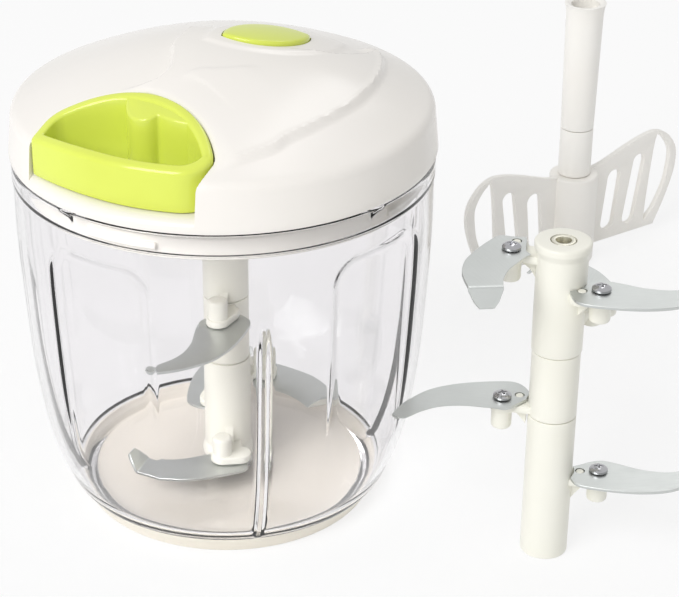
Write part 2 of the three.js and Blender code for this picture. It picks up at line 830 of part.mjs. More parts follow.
function springHousing() {
  const cup = solidOf(turned([
    [shaftTipRadius + runGap, housingBottom], [housingRadius, housingBottom],
    [housingRadius, housingTop], [housingRadius - housingWall, housingTop],
    [housingRadius - housingWall, housingBottom + housingFloor],
    [shaftTipRadius + runGap, housingBottom + housingFloor], [shaftTipRadius + runGap, housingBottom],
  ], mediumFacets));
  let housing = cup;
  for (const direction of housingPostDirections()) {
    const ear = box(
      housingPostCircle - housingRadius + housingWall, housingPostRadius * 2, housingFloor * 2,
      (housingPostCircle + housingRadius - housingWall) / 2, 0, housingBottom,
    );
    const post = disc(housingPostRadius, basePlateTop + seatGap, housingBottom + housingFloor * 2, tinyFacets);
    post.translate(housingPostCircle, 0, 0);
    const hole = disc(
      screwRadius + seatGap, lidEdge, basePlateTop + coverScrewLength + seatGap, screwFacets,
    );
    hole.translate(housingPostCircle, 0, 0);
    for (const piece of [ear, post, hole]) piece.rotateZ(turnTo(direction));
    housing = housing.add(solidOf(ear)).add(solidOf(post)).subtract(solidOf(hole));
  }
  return housing;
}

function housingCap() {
  const bottom = housingTop + seatGap;
  return disc(housingRadius, bottom, bottom + housingCapThickness, mediumFacets);
}

// A flat strip wound as an even spiral, with its inner end close to the shaft.
function clockSpring() {
  const steps = springTurns * springStepsPerTurn;
  const outer = [];
  const inner = [];
  for (let i = 0; i <= steps; i += 1) {
    const share = i / steps;
    const angle = share * springTurns * Math.PI * 2;
    const radius = springInnerRadius + (springOuterRadius - springInnerRadius) * share;
    const point = (r) => new THREE.Vector2(r * Math.cos(angle), r * Math.sin(angle));
    outer.push(point(radius + springStripThickness));
    inner.push(point(radius));
  }
  const shape = new THREE.Shape([...outer, ...inner.reverse()]);
  const bottom = housingBottom + housingFloor + seatGap;
  return prism(shape, bottom, bottom + springStripHeight, 1);
}

function driveBush() {
  const bore = collarRadius + seatGap;
  const flangeBottom = basePlateTop + seatGap;
  return turned([
    [bore, bushBottom], [bore + bushWall, bushBottom], [bore + bushWall, flangeBottom],
    [bushFlangeRadius, flangeBottom], [bushFlangeRadius, flangeBottom + bushFlangeThickness],
    [bore, flangeBottom + bushFlangeThickness], [bore, bushBottom],
  ], smallFacets);
}

function driveShaft() {
  const collar = disc(collarRadius, collarBottom, reelBottom - seatGap, smallFacets);
  const core = disc(shaftCoreRadius, shaftBottom, collarBottom + seatGap, smallFacets);
  const wing = box(
    shaftWingRadius * 2, shaftWingWidth, collarBottom + seatGap - shaftBottom, 0, 0, shaftBottom,
  );
  wing.rotateZ(turnTo(cutterTurn));
  const key = disc(reelKeyRadius, reelBottom - seatGap * 2, reelTop(), 6);
  const tip = disc(shaftTipRadius, reelTop() - seatGap, shaftTop, smallFacets);
  return joined([collar, core, wing, key, tip].map(solidOf));
}

// Button

function lockButton() {
  const proud = domeSolid(platformRise + buttonProud, lidRadius, lidEdge, fineFacets);
  const below = innerDomeSolid(-buttonDepth);
  const underCover = innerDomeSolid(-coverWall - seatGap);
  const top = lidEdge + lidWallHeight + domeHeight + overrun * 2;
  const face = eyePrism(buttonLength, buttonWidth, buttonX, buttonY, lidEdge, top)
    .intersect(proud).subtract(below);
  const flange = eyePrism(
    buttonLength + buttonFlange * 2, buttonWidth + buttonFlange * 2, buttonX, buttonY, lidEdge, top,
  ).intersect(underCover).subtract(below);
  const leg = disc(
    buttonLegRadius, buttonLegBottom, domeZ(Math.hypot(buttonLegX, buttonLegY), -coverWall), tinyFacets,
  );
  leg.translate(buttonLegX, buttonLegY, 0);
  return joined([face, flange, solidOf(leg)]);
}

// A three turn compression spring between the housing cap and the button.
class Helix extends THREE.Curve {
  constructor(radius, bottom, top, turns) {
    super();
    Object.assign(this, { radius, bottom, top, turns });
  }

  getPoint(share, target = new THREE.Vector3()) {
    const angle = share * this.turns * Math.PI * 2;
    const height = this.bottom + (this.top - this.bottom) * share;
    return target.set(this.radius * Math.cos(angle), this.radius * Math.sin(angle), height);
  }
}

function buttonSpring() {
  const clear = coilWireRadius + seatGap;
  const bottom = housingTop + seatGap + housingCapThickness + clear;
  const reach = Math.hypot(buttonX, buttonY) + coilRadius + coilWireRadius;
  const top = domeZ(reach, -buttonDepth) - clear;
  const path = new Helix(coilRadius, bottom, top, coilTurns);
  const section = new THREE.Shape();
  for (let i = 0; i < coilSides; i += 1) {
    const angle = (i / coilSides) * Math.PI * 2;
    const corner = [coilWireRadius * Math.cos(angle), coilWireRadius * Math.sin(angle)];
    if (i === 0) section.moveTo(...corner);
    else section.lineTo(...corner);
  }
  const coil = new THREE.ExtrudeGeometry(section, {
    steps: coilTurns * coilStepsPerTurn, extrudePath: path,
  });
  coil.translate(buttonX, buttonY, 0);
  return coil;
}

// Cutter

function bladeShape(kind) {
  const shape = new THREE.Shape();
  const long = kind === 'long';
  const reach = long ? longBladeReach : shortBladeReach;
  const width = long ? longBladeWidth : shortBladeWidth;
  const convex = vectors(long ? longBladeConvexShares : shortBladeConvexShares, reach, width);
  const concave = vectors(long ? longBladeConcaveShares : shortBladeConcaveShares, reach, width);
  const root = vectors(long ? longBladeRootShares : shortBladeRootShares, reach, width);
  shape.moveTo(root[0].x, root[0].y);
  shape.lineTo(convex[0].x, convex[0].y);
  shape.splineThru(convex.slice(1));
  if (long) shape.splineThru(vectors(longBladeTipShares, reach, width));
  shape.lineTo(concave[0].x, concave[0].y);
  shape.splineThru(concave.slice(1));
  shape.closePath();
  return shape;
}

// A short blade's tip in the blade's frame: bent up along its fold line and narrowing.
function bentTip() {
  const outer = vectors(shortBladeConvexShares, shortBladeReach, shortBladeWidth).at(-1);
  const inner = vectors(shortBladeConcaveShares, shortBladeReach, shortBladeWidth)[0];
  const fold = outer.clone().sub(inner);
  const width = fold.length();
  const inset = width * (1 - shortTipNarrowShare) / 2;
  const tip = new THREE.Shape();
  tip.moveTo(-bladeThickness, 0);
  tip.lineTo(0, 0);
  tip.lineTo(shortTipLength, inset);
  tip.lineTo(shortTipLength, width - inset);
  tip.lineTo(0, width);
  tip.lineTo(-bladeThickness, width);
  tip.closePath();
  const bent = prism(tip, 0, bladeThickness, cornerArc);
  bent.rotateY(radians(-shortTipBend));
  bent.rotateZ(fold.angle() - radians(90));
  bent.translate(inner.x, inner.y, 0);
  return solidOf(bent);
}

// A blade in its place: in its own frame the screw hole is at the origin, the tip along +X and the
// convex edge at +Y, and its root follows the post.
function bladeSolid(blade) {
  let plate = solidOf(prism(bladeShape(blade.kind), 0, bladeThickness, cornerArc));
  if (blade.kind === 'short') plate = plate.add(bentTip());
  for (const [x, radius] of [[0, bladeScrewRadius + seatGap], [-pegPitch, pegRadius + seatGap]]) {
    const hole = disc(radius, -overrun, overrun, screwFacets);
    hole.translate(x, 0, 0);
    plate = plate.subtract(solidOf(hole));
  }
  const geometry = geometryOf(plate);
  geometry.applyMatrix4(bladeMatrix(blade));
  const post = disc(postRadius + seatGap * 2, blade.level - overrun, blade.level + overrun, smallFacets);
  return solidOf(geometry).subtract(solidOf(post));
}

// A stadium from one point to another.
function stadium(from, to, radius) {
  const angle = Math.atan2(to.y - from.y, to.x - from.x);
  const shape = new THREE.Shape();
  shape.absarc(to.x, to.y, radius, angle - radians(90), angle + radians(90));
  shape.absarc(from.x, from.y, radius, angle + radians(90), angle + radians(270));
  return shape;
}

// A matrix that carries a blade's own frame to its place on the post.
function bladeMatrix({ screwRadius: radius, screwAngle, heading, level }) {
  const [x, y] = atDirection(radius, screwAngle);
  const matrix = new THREE.Matrix4().makeRotationZ(turnTo(heading));
  return matrix.setPosition(x, y, level - bladeThickness / 2);
}

// A small upright cylinder in a blade's frame, between two heights of the cutter.
function pinOfBlade(blade, x, radius, bottom, top) {
  const pin = disc(radius, bottom - blade.level, top - blade.level, screwFacets);
  pin.translate(x, 0, bladeThickness / 2);
  pin.applyMatrix4(bladeMatrix(blade));
  return solidOf(pin);
}

// The arm that carries a blade: a flat tongue with a peg, a web to the post and a long screw boss.
function bladeArm(blade) {
  const matrix = bladeMatrix(blade);
  const screw = new THREE.Vector3().applyMatrix4(matrix);
  const peg = new THREE.Vector3(-pegPitch, 0, 0).applyMatrix4(matrix);
  const middle = new THREE.Vector2((screw.x + peg.x) / 2, (screw.y + peg.y) / 2);
  const bottom = blade.level + bladeThickness / 2 + seatGap;
  const tongue = prism(stadium(peg, screw, armRadius), bottom, bottom + armThickness, shortArc);
  const bridge = box(middle.length(), armRadius * 2, armThickness, middle.length() / 2, 0, bottom);
  bridge.rotateZ(middle.angle());
  const web = new THREE.Shape();
  web.moveTo(0, 0);
  web.lineTo(middle.length(), 0);
  web.lineTo(postRadius, armWebDepth);
  web.lineTo(0, armWebDepth);
  web.closePath();
  const webBody = prism(web, -armWebWidth / 2, armWebWidth / 2, cornerArc);
  webBody.rotateX(radians(90));
  webBody.rotateZ(middle.angle());
  webBody.translate(0, 0, bottom + armThickness / 2);
  const boss = disc(screwBossRadius, bottom, bottom + screwBossLength, tinyFacets);
  boss.translate(screw.x, screw.y, 0);
  const lower = blade.level - bladeThickness / 2;
  const pegBody = pinOfBlade(blade, -pegPitch, pegRadius, lower, bottom + armThickness / 2);
  const holeTop = bottom + bladeScrewLength + seatGap;
  const hole = pinOfBlade(blade, 0, bladeScrewRadius + seatGap, bottom - overrun, holeTop);
  return joined([tongue, bridge, webBody, boss].map(solidOf)).add(pegBody).subtract(hole);
}

function lowerPost() {
  const spigotTop = lowerPostLength + spigotLength;
  const post = solidOf(turned([
    [0, 0], [capRadius - padEdge, 0], [capRadius, padEdge], [capRadius, capHeight],
    [postRadius + seatGap, capHeight + capRadius - postRadius], [postRadius + seatGap, lowerPostLength],
    [spigotRadius, lowerPostLength], [spigotRadius, spigotTop], [0, spigotTop],
  ], smallFacets));
  const bore = turned([
    [0, -overrun], [bearingRadius + seatGap, -overrun], [bearingRadius + seatGap, bearingLength + seatGap],
    [bearingBore, bearingLength + seatGap], [bearingBore, bearingLength + overrun],
    [0, bearingLength + overrun],
  ], tinyFacets);
  return joined([post, ...blades.slice(0, 3).map(bladeArm)]).subtract(solidOf(bore));
}

// The middle section carries the fourth blade, whose arm reaches past the joint above it.
function middlePost() {
  const bottom = lowerPostLength + seatGap;
  const top = lowerPostLength + middlePostLength;
  const body = disc(postRadius, bottom, top, smallFacets);
  const spigot = disc(spigotRadius, top - seatGap, top + spigotLength, smallFacets);
  const socket = disc(spigotRadius + seatGap, bottom - overrun, bottom + spigotLength, smallFacets);
  const room = disc(postRadius + seatGap * 2, top, cutterLength, smallFacets);
  const arm = bladeArm(blades[3]).subtract(solidOf(room));
  return joined([solidOf(body), arm, solidOf(spigot)]).subtract(solidOf(socket));
}

// The drive socket at a tube's open end: a round bore with two ribs that the shaft's wings push.
function driveSocket(top, mouthRadius) {
  const bottom = top - socketDepth;
  const bore = solidOf(turned([
    [0, bottom], [socketRadius, bottom], [socketRadius, top - padEdge], [mouthRadius, top],
    [mouthRadius, top + overrun], [0, top + overrun],
  ], smallFacets));
  const ribs = [-1, 1].map((side) => {
    const rib = box(
      socketRibReach + overrun, socketRibWidth, socketDepth - seatGap,
      side * (socketRadius - socketRibReach + (socketRibReach + overrun) / 2), 0, bottom - overrun,
    );
    return solidOf(rib);
  });
  return ribs.reduce((hollow, rib) => hollow.subtract(rib), bore);
}

function upperPost() {
  const bottom = lowerPostLength + middlePostLength + seatGap;
  const body = disc(postRadius, bottom, cutterLength, smallFacets);
  const socket = disc(spigotRadius + seatGap, bottom - overrun, bottom + spigotLength, smallFacets);
  return solidOf(body).add(bladeArm(blades[4])).subtract(solidOf(socket))
    .subtract(driveSocket(cutterLength, socketRadius + padEdge));
}

function bladeScrew(blade) {
  const screw = turned([
    [0, -bladeScrewHeadHeight], [bladeScrewHeadRadius * 0.8, -bladeScrewHeadHeight],
    [bladeScrewHeadRadius, 0],
    [bladeScrewRadius, 0], [bladeScrewRadius, bladeScrewLength], [0, bladeScrewLength],
  ], screwFacets);
  screw.translate(0, 0, -seatGap);
  screw.applyMatrix4(bladeMatrix(blade));
  return screw;
}

function postBearing() {
  return ring(bearingBore, bearingRadius, 0, bearingLength, tinyFacets);
}

// Paddle

function vane() {
  const outline = vectors(vaneOutlineShares, vaneReach, vaneHeight);
  const root = vectors(vaneRootShares, vaneReach, vaneHeight);
  const shape = new THREE.Shape();
  shape.moveTo(root[1].x, root[1].y);
  shape.lineTo(outline[0].x, outline[0].y);
  shape.splineThru(outline.slice(1));
  shape.lineTo(root[0].x, root[0].y);
  shape.closePath();
  const slot = new THREE.Path();
  const points = vectors(outerSlotShares, vaneReach, vaneHeight);
  slot.moveTo(points[0].x, points[0].y);
  slot.splineThru(points.slice(1));
  slot.closePath();
  shape.holes.push(slot);
  for (const { top, foot, topHeight, footHeight, half } of innerSlotsShares) {
    const from = new THREE.Vector2(foot * vaneReach, footHeight * vaneHeight);
    const to = new THREE.Vector2(top * vaneReach, topHeight * vaneHeight);
    const angle = Math.atan2(to.y - from.y, to.x - from.x);
    const hole = new THREE.Path();
    hole.absarc(to.x, to.y, half * vaneReach, angle - radians(90), angle + radians(90));
    hole.absarc(from.x, from.y, half * vaneReach, angle + radians(90), angle + radians(270));
    shape.holes.push(hole);
  }
  const plate = prism(shape, -vaneThickness / 2, vaneThickness / 2, shortArc);
  plate.rotateX(radians(90));
  return plate;
}

function paddleHub() {
  const hub = solidOf(turned([
    [0, 0], [paddleHubRadius - paddleHubEdge, 0], [paddleHubRadius, paddleHubEdge],
    [paddleHubRadius, paddleHubHeight - padEdge], [paddleHubRadius - padEdge, paddleHubHeight],
    [spigotRadius, paddleHubHeight], [spigotRadius, paddleHubHeight + spigotLength],
    [0, paddleHubHeight + spigotLength],
  ], smallFacets));
  const left = vane();
  const right = vane();
  right.rotateZ(radians(180));
  const bore = disc(bearingBore, -overrun, bearingLength + overrun, tinyFacets);
  return joined([hub, solidOf(left), solidOf(right)]).subtract(solidOf(bore));
}

function lowerStem() {
  const bottom = paddleHubHeight + seatGap;
  const body = disc(lowerStemRadius, bottom, stemJoint, smallFacets);
  const spigot = disc(spigotRadius, stemJoint - seatGap, stemJoint + spigotLength, smallFacets);
  const socket = disc(spigotRadius + seatGap, bottom - overrun, bottom + spigotLength, smallFacets);
  return solidOf(body).add(solidOf(spigot)).subtract(solidOf(socket));
}

function upperStem() {
  const bottom = stemJoint + seatGap;
  const body = solidOf(turned([
    [0, bottom], [lowerStemRadius, bottom], [upperStemRadius, cutterLength - stemMouthLength],
    [stemMouthRadius, cutterLength], [0, cutterLength],
  ], smallFacets));
  const socket = disc(spigotRadius + seatGap, bottom - overrun, bottom + spigotLength, smallFacets);
  return body.subtract(solidOf(socket)).subtract(driveSocket(cutterLength, stemMouthRadius - padEdge * 2));
}

// Materials

const finishes = {
  clear: { color: 0xe9eaf0, roughness: 0.05, metalness: 0 },
  ivory: { color: 0xf3f0eb, roughness: 0.22, metalness: 0 },
  padIvory: { color: 0xebe4d7, roughness: 0.5, metalness: 0 },
  lime: { color: 0xd6ee55, roughness: 0.18, metalness: 0 },
  post: { color: 0xebe9de, roughness: 0.35, metalness: 0 },
  paddle: { color: 0xf5f0ec, roughness: 0.4, metalness: 0 },
  steel: { color: 0xc8cbc8, roughness: 0.28, metalness: 1 },
  chrome: { color: 0xd8d8d8, roughness: 0.12, metalness: 1 },
  acetal: { color: 0xdedcd4, roughness: 0.4, metalness: 0 },
  silicone: { color: 0xd9d8da, roughness: 0.6, metalness: 0 },
  cord: { color: 0xf2f0ea, roughness: 0.9, metalness: 0 },
  springSteel: { color: 0x6d6f73, roughness: 0.35, metalness: 1 },
  brass: { color: 0xc9a658, roughness: 0.3, metalness: 1 },
};

const chopper = new THREE.Group();

function place(group, name, form, finish) {
  const geometry = form instanceof THREE.BufferGeometry ? closed(form) : geometryOf(form);
  const mesh = new THREE.Mesh(geometry, new THREE.MeshStandardMaterial(finishes[finish]));
  mesh.name = name;
  group.add(mesh);
}

// One cutter unit as a group of named meshes, standing on its bottom face at z = 0.
function cutter(prefix) {
  const unit = new THREE.Group();
  place(unit, `${prefix}post_lower`, lowerPost(), 'post');
  place(unit, `${prefix}post_middle`, middlePost(), 'post');
  place(unit, `${prefix}post_upper`, upperPost(), 'post');
  place(unit, `${prefix}post_bearing`, postBearing(), 'brass');
  blades.forEach((blade, i) => {
    place(unit, `${prefix}blade_${i + 1}`, bladeSolid(blade), 'steel');
    place(unit, `${prefix}blade_screw_${i + 1}`, bladeScrew(blade), 'chrome');
  });
  return unit;
}

place(chopper, 'bowl', bowlSolid(), 'clear');
place(chopper, 'base_pad', basePad(), 'padIvory');
place(chopper, 'pivot_pin', pivotPin(), 'chrome');
place(chopper, 'lid_gasket', lidGasket(), 'silicone');
place(chopper, 'lid_cover', lidCover(), 'ivory');
place(chopper, 'lid_base', lidBase(), 'ivory');
lidScrewPlaces().forEach((spot, i) => place(chopper, `lid_screw_${i + 1}`, lidScrew(spot), 'chrome'));
place(chopper, 'cord_eyelet', cordEyelet(), 'chrome');
place(chopper, 'drive_bush', driveBush(), 'acetal');
place(chopper, 'spring_housing', springHousing(), 'acetal');
place(chopper, 'housing_cap', housingCap(), 'acetal');
place(chopper, 'pull_cord', pullCord(), 'cord');
place(chopper, 'button_spring', buttonSpring(), 'springSteel');
place(chopper, 'pull_handle', pullHandle(), 'lime');
place(chopper, 'cord_knot', cordKnot(), 'cord');
place(chopper, 'cord_reel', cordReel(), 'acetal');
place(chopper, 'cord_winding', cordWinding(), 'cord');
place(chopper, 'clock_spring', clockSpring(), 'springSteel');
place(chopper, 'drive_shaft', driveShaft(), 'acetal');
place(chopper, 'lock_button', lockButton(), 'lime');

const bowlCutter = cutter('');
bowlCutter.rotation.z = radians(cutterTurn);
bowlCutter.position.z = bossTop + seatGap;
chopper.add(bowlCutter);

const spareCutter = cutter('spare_');
spareCutter.rotation.set(0, radians(180), radians(spareTurn));
spareCutter.position.set(spareX, spareY, cutterLength);
chopper.add(spareCutter);

const paddle = new THREE.Group();
place(paddle, 'paddle_hub', paddleHub(), 'paddle');
place(paddle, 'paddle_stem_lower', lowerStem(), 'paddle');
place(paddle, 'paddle_stem_upper', upperStem(), 'paddle');
paddle.rotation.z = turnTo(paddleTurn);
paddle.position.set(paddleX, paddleY, 0);
chopper.add(paddle);

export default chopper;
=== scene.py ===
"""A hand pull food chopper: a clear panelled bowl under a domed lid with a pull handle, the five
blade cutter in it, and beside it a second cutter standing on its socket end and a mixing paddle.

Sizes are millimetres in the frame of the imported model, whose origin is on the bowl's axis at the
table and whose -Y side faces the viewer. Directions are degrees from that side towards the right.
"""

import json
import logging
import math
from collections.abc import Callable, Sequence
from dataclasses import dataclass, field
from enum import Enum

import bmesh
import bpy
import numpy as np
from mathutils import Matrix, Vector


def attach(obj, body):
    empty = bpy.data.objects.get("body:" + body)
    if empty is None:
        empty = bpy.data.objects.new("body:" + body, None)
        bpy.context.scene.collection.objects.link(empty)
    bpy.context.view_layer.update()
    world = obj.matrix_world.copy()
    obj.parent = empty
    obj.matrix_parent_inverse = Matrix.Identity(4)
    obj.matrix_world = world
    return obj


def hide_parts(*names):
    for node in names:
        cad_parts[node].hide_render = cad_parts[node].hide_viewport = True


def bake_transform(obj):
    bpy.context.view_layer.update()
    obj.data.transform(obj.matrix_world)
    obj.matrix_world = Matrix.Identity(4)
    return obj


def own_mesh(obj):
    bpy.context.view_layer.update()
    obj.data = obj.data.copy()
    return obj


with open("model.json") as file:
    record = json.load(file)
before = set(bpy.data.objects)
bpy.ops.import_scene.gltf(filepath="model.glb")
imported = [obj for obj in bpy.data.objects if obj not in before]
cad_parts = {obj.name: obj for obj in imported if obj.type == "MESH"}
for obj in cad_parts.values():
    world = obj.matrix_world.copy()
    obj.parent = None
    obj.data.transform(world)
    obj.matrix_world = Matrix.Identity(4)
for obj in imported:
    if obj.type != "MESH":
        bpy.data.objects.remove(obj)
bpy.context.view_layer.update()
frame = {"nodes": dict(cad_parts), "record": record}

LOG = logging.getLogger("chopper")
MM = 0.001
PHOTO_WIDTH = 679
PHOTO_HEIGHT = 597

Flat = tuple[float, float]
Spot = tuple[float, float, float]


class Ends(Enum):
    """How the two ends of a drawn out shape are left."""

    OPEN = "open"
    CAPPED = "capped"
    MEETING = "meeting"


class Cut(Enum):
    """What a second solid does to the first."""

    AWAY = "DIFFERENCE"
    ON = "UNION"
    COMMON = "INTERSECT"


# Plane shapes


def turn_to(direction: float) -> float:
    """The turn about +Z, in radians, that carries +X to a direction in degrees."""
    return math.radians(direction - 90)


def at_direction(radius: float, direction: float) -> Flat:
    """The plan's point at a radius and a direction in degrees."""
    angle = turn_to(direction)
    return radius * math.cos(angle), radius * math.sin(angle)


def arc(x: float, y: float, radius: float, start: float, end: float, count: int) -> list[Flat]:
    """Points along an arc round x, y between two angles in radians, both ends included."""
    steps = [start + (end - start) * i / (count - 1) for i in range(count)]
    return [(x + radius * math.cos(a), y + radius * math.sin(a)) for a in steps]


def stadium(start: Flat, end: Flat, radius: float, count: int = 14) -> list[Flat]:
    """The outline of a slot with round ends.

    Args:
        start: Middle of one end.
        end: Middle of the other.
        radius: Half its width.
        count: Points on each end.

    Returns:
        The outline.
    """
    angle = math.atan2(end[1] - start[1], end[0] - start[0])
    half = math.pi / 2
    return (arc(*end, radius, angle - half, angle + half, count)
            + arc(*start, radius, angle + half, angle + 3 * half, count))


def smooth(points: Sequence[Flat], spans: int, closed: bool = False) -> list[Flat]:
    """A curve through points, rounder than straight lines between them.

    Args:
        points: What it passes through.
        spans: Pieces between two of them.
        closed: Whether the last leads back to the first.

    Returns:
        The finer points.
    """
    known = np.array(points, float)
    count = len(known)
    found = []
    for i in range(count if closed else count - 1):
        if closed:
            a, b, c, d = (known[(i + k) % count] for k in (-1, 0, 1, 2))
        else:
            b, c = known[i], known[i + 1]
            a = known[i - 1] if i else 2 * b - c
            d = known[i + 2] if i + 2 < count else 2 * c - b
        for k in range(spans):
            t = k / spans
            found.append(tuple(0.5 * (2 * b + (c - a) * t + (2 * a - 5 * b + 4 * c - d) * t ** 2
                                      + (3 * b - a - 3 * c + d) * t ** 3)))
    if not closed:
        found.append(tuple(known[-1]))
    return [(float(p[0]), float(p[1])) for p in found]


def bowed(start: Flat, pull: Flat, end: Flat, count: int) -> list[Flat]:
    """Points of a curve from start to end that leaves towards pull and arrives from it."""
    a, b, c = (np.array(point) for point in (start, pull, end))
    return [tuple(map(float, (1 - t) ** 2 * a + 2 * t * (1 - t) * b + t ** 2 * c))
            for t in np.linspace(0, 1, count + 1)]


def eased(corners: Sequence[tuple[float, float, float]], count: int = 5,
          closed: bool = True) -> list[Flat]:
    """A shape of straight sides whose corners are rounded.

    Args:
        corners: Each corner's two coordinates and its radius, which may be zero.
        count: Points on each rounded corner.
        closed: Whether the last corner leads back to the first.

    Returns:
        The outline.
    """
    found: list[Flat] = []
    total = len(corners)
    for i, (x, y, radius) in enumerate(corners):
        if radius <= 0 or (not closed and i in (0, total - 1)):
            found.append((x, y))
            continue
        here = Vector((x, y))
        before = (Vector(corners[i - 1][:2]) - here)
        after = (Vector(corners[(i + 1) % total][:2]) - here)
        reach = min(before.length, after.length) * 0.49
        before.normalize()
        after.normalize()
        half = before.angle(after) / 2
        length = min(radius / math.tan(half), reach)
        turned = length * math.tan(half)
        centre = here + (before + after).normalized() * (turned / math.sin(half))
        first = here + before * length - centre
        sweep = first.angle_signed(here + after * length - centre)
        for k in range(count):
            step = first.copy()
            step.rotate(Matrix.Rotation(-sweep * k / (count - 1), 2))
            found.append((centre.x + step.x, centre.y + step.y))
    return found


def finer(section: Sequence[Flat], most: float = 2.5) -> list[Flat]:
    """A section whose long sides are cut into shorter ones.

    Args:
        section: The closed section.
        most: Longest side that stays whole.

    Returns:
        The section with the added points.
    """
    found: list[Flat] = []
    for start, end in zip(section, [*section[1:], section[0]]):
        count = max(1, math.ceil(math.dist(start, end) / most)) if start[0] > 0 else 1
        found += [tuple(a + (b - a) * i / count for a, b in zip(start, end)) for i in range(count)]
    return found


def step_up(value: np.ndarray) -> np.ndarray:
    """A soft step from 0 to 1 as the value goes from 0 to 1."""
    share = np.clip(value, 0, 1)
    return share * share * (3 - 2 * share)


# Work on meshes


def settle() -> None:
    """Goes back to object mode with nothing selected."""
    if bpy.context.object is not None and bpy.context.object.mode != "OBJECT":
        bpy.ops.object.mode_set(mode="OBJECT")
    bpy.ops.object.select_all(action="DESELECT")


def open_all() -> None:
    """Goes to edit mode with all of the active mesh selected."""
    bpy.ops.object.mode_set(mode="EDIT")
    bpy.ops.mesh.select_all(action="SELECT")


def hold(obj: bpy.types.Object) -> None:
    """Selects one object alone and makes it the active one."""
    settle()
    obj.select_set(True)
    bpy.context.view_layer.objects.active = obj


def wire(name: str, points: Sequence[Spot], filled: bool = False) -> bpy.types.Object:
    """A circle whose corners are carried to these points.

    Args:
        name: Name of the new object.
        points: Where the corners go.
        filled: Whether a face closes it.

    Returns:
        The object.
    """
    settle()
    bpy.ops.mesh.primitive_circle_add(
        vertices=len(points), radius=MM, fill_type="NGON" if filled else "NOTHING",
        location=(0, 0, 0))
    obj = bpy.context.object
    obj.name = obj.data.name = name
    obj.data.vertices.foreach_set("co", (np.array(points, float) * MM).ravel())
    obj.data.update()
    return obj


def heal(obj: bpy.types.Object) -> bpy.types.Object:
    """Merges doubles, drops loose ends and turns the faces outwards.

    Args:
        obj: The mesh object.

    Returns:
        The same object.
    """
    hold(obj)
    open_all()
    bpy.ops.mesh.remove_doubles(threshold=2e-6)
    bpy.ops.mesh.delete_loose()
    bpy.ops.mesh.select_all(action="SELECT")
    bpy.ops.mesh.normals_make_consistent(inside=False)
    bpy.ops.object.mode_set(mode="OBJECT")
    return obj


def spun(name: str, profile: Sequence[Flat], steps: int = 96) -> bpy.types.Object:
    """Turns a closed section about +Z.

    Args:
        name: Name of the new object.
        profile: Radius and height of each corner.
        steps: Columns round the turn.

    Returns:
        The solid.
    """
    obj = wire(name, [(radius, 0, height) for radius, height in profile])
    open_all()
    bpy.ops.mesh.spin(steps=steps, angle=math.tau, center=(0, 0, 0), axis=(0, 0, 1))
    bpy.ops.object.mode_set(mode="OBJECT")
    return heal(obj)


def plug(name: str, radius: float, low: float, high: float, steps: int = 32) -> bpy.types.Object:
    """A round solid about the axis that is used to cut a bore."""
    return spun(name, [(0, low), (radius, low), (radius, high), (0, high)], steps)


def raised(name: str, outline: Sequence[Flat], bottom: float, top: float) -> bpy.types.Object:
    """Extrudes a plan from one height to another.

    Args:
        name: Name of the new object.
        outline: The plan.
        bottom: Lower height.
        top: Upper height.

    Returns:
        The solid.
    """
    obj = wire(name, [(x, y, bottom) for x, y in outline], filled=True)
    open_all()
    bpy.ops.mesh.extrude_region_move(
        TRANSFORM_OT_translate={"value": (0, 0, (top - bottom) * MM)})
    bpy.ops.object.mode_set(mode="OBJECT")
    return heal(obj)


def drawn(name: str, rings: Sequence[Sequence[Spot]], ends: Ends) -> bpy.types.Object:
    """Extrudes a loop step by step and carries each new loop to its ring.

    Args:
        name: Name of the new object.
        rings: The loops in order, each with the same number of points.
        ends: How the first and last loop are left.

    Returns:
        The solid, or the open skin.
    """
    obj = wire(name, rings[0])
    order = obj.data.attributes.new("place", "INT", "POINT")
    order.data.foreach_set("value", range(len(rings[0])))
    open_all()
    for ring in rings[1:] if ends != Ends.MEETING else [*rings[1:], rings[0]]:
        bpy.ops.mesh.extrude_region_move()
        mesh = bmesh.from_edit_mesh(obj.data)
        place = mesh.verts.layers.int["place"]
        for vertex in mesh.verts:
            if vertex.select:
                vertex.co = Vector(ring[vertex[place]]) * MM
        bmesh.update_edit_mesh(obj.data)
    if ends == Ends.CAPPED:
        bpy.ops.mesh.edge_face_add()
        mesh = bmesh.from_edit_mesh(obj.data)
        mesh.verts.ensure_lookup_table()
        bpy.ops.mesh.select_all(action="DESELECT")
        for vertex in mesh.verts[:len(rings[0])]:
            vertex.select_set(True)
        mesh.select_flush(True)
        bpy.ops.mesh.edge_face_add()
    bpy.ops.object.mode_set(mode="OBJECT")
    obj.data.attributes.remove(obj.data.attributes["place"])
    return heal(obj)


def swept(name: str, path: Sequence[Spot], radius: float, closed: bool = False,
          sides: int = 12) -> bpy.types.Object:
    """A cord or wire along a path.

    Args:
        name: Name of the new object.
        path: The path's points.
        radius: Half its thickness.
        closed: Whether its ends meet.
        sides: Corners of its section.

    Returns:
        The cord or wire.
    """
    line = np.array(path)
    ahead = (np.roll(line, -1, axis=0) - np.roll(line, 1, axis=0) if closed
             else np.gradient(line, axis=0))
    normal = Vector((0, 0, 1))
    rings = []
    for place, way in zip(line, ahead):
        along = Vector(way).normalized()
        normal = (normal - along * normal.dot(along)).normalized()
        side = along.cross(normal)
        rings.append([tuple(Vector(place) + radius * (normal * math.cos(a) + side * math.sin(a)))
                      for a in np.linspace(0, math.tau, sides, endpoint=False)])
    return drawn(name, rings, Ends.MEETING if closed else Ends.CAPPED)


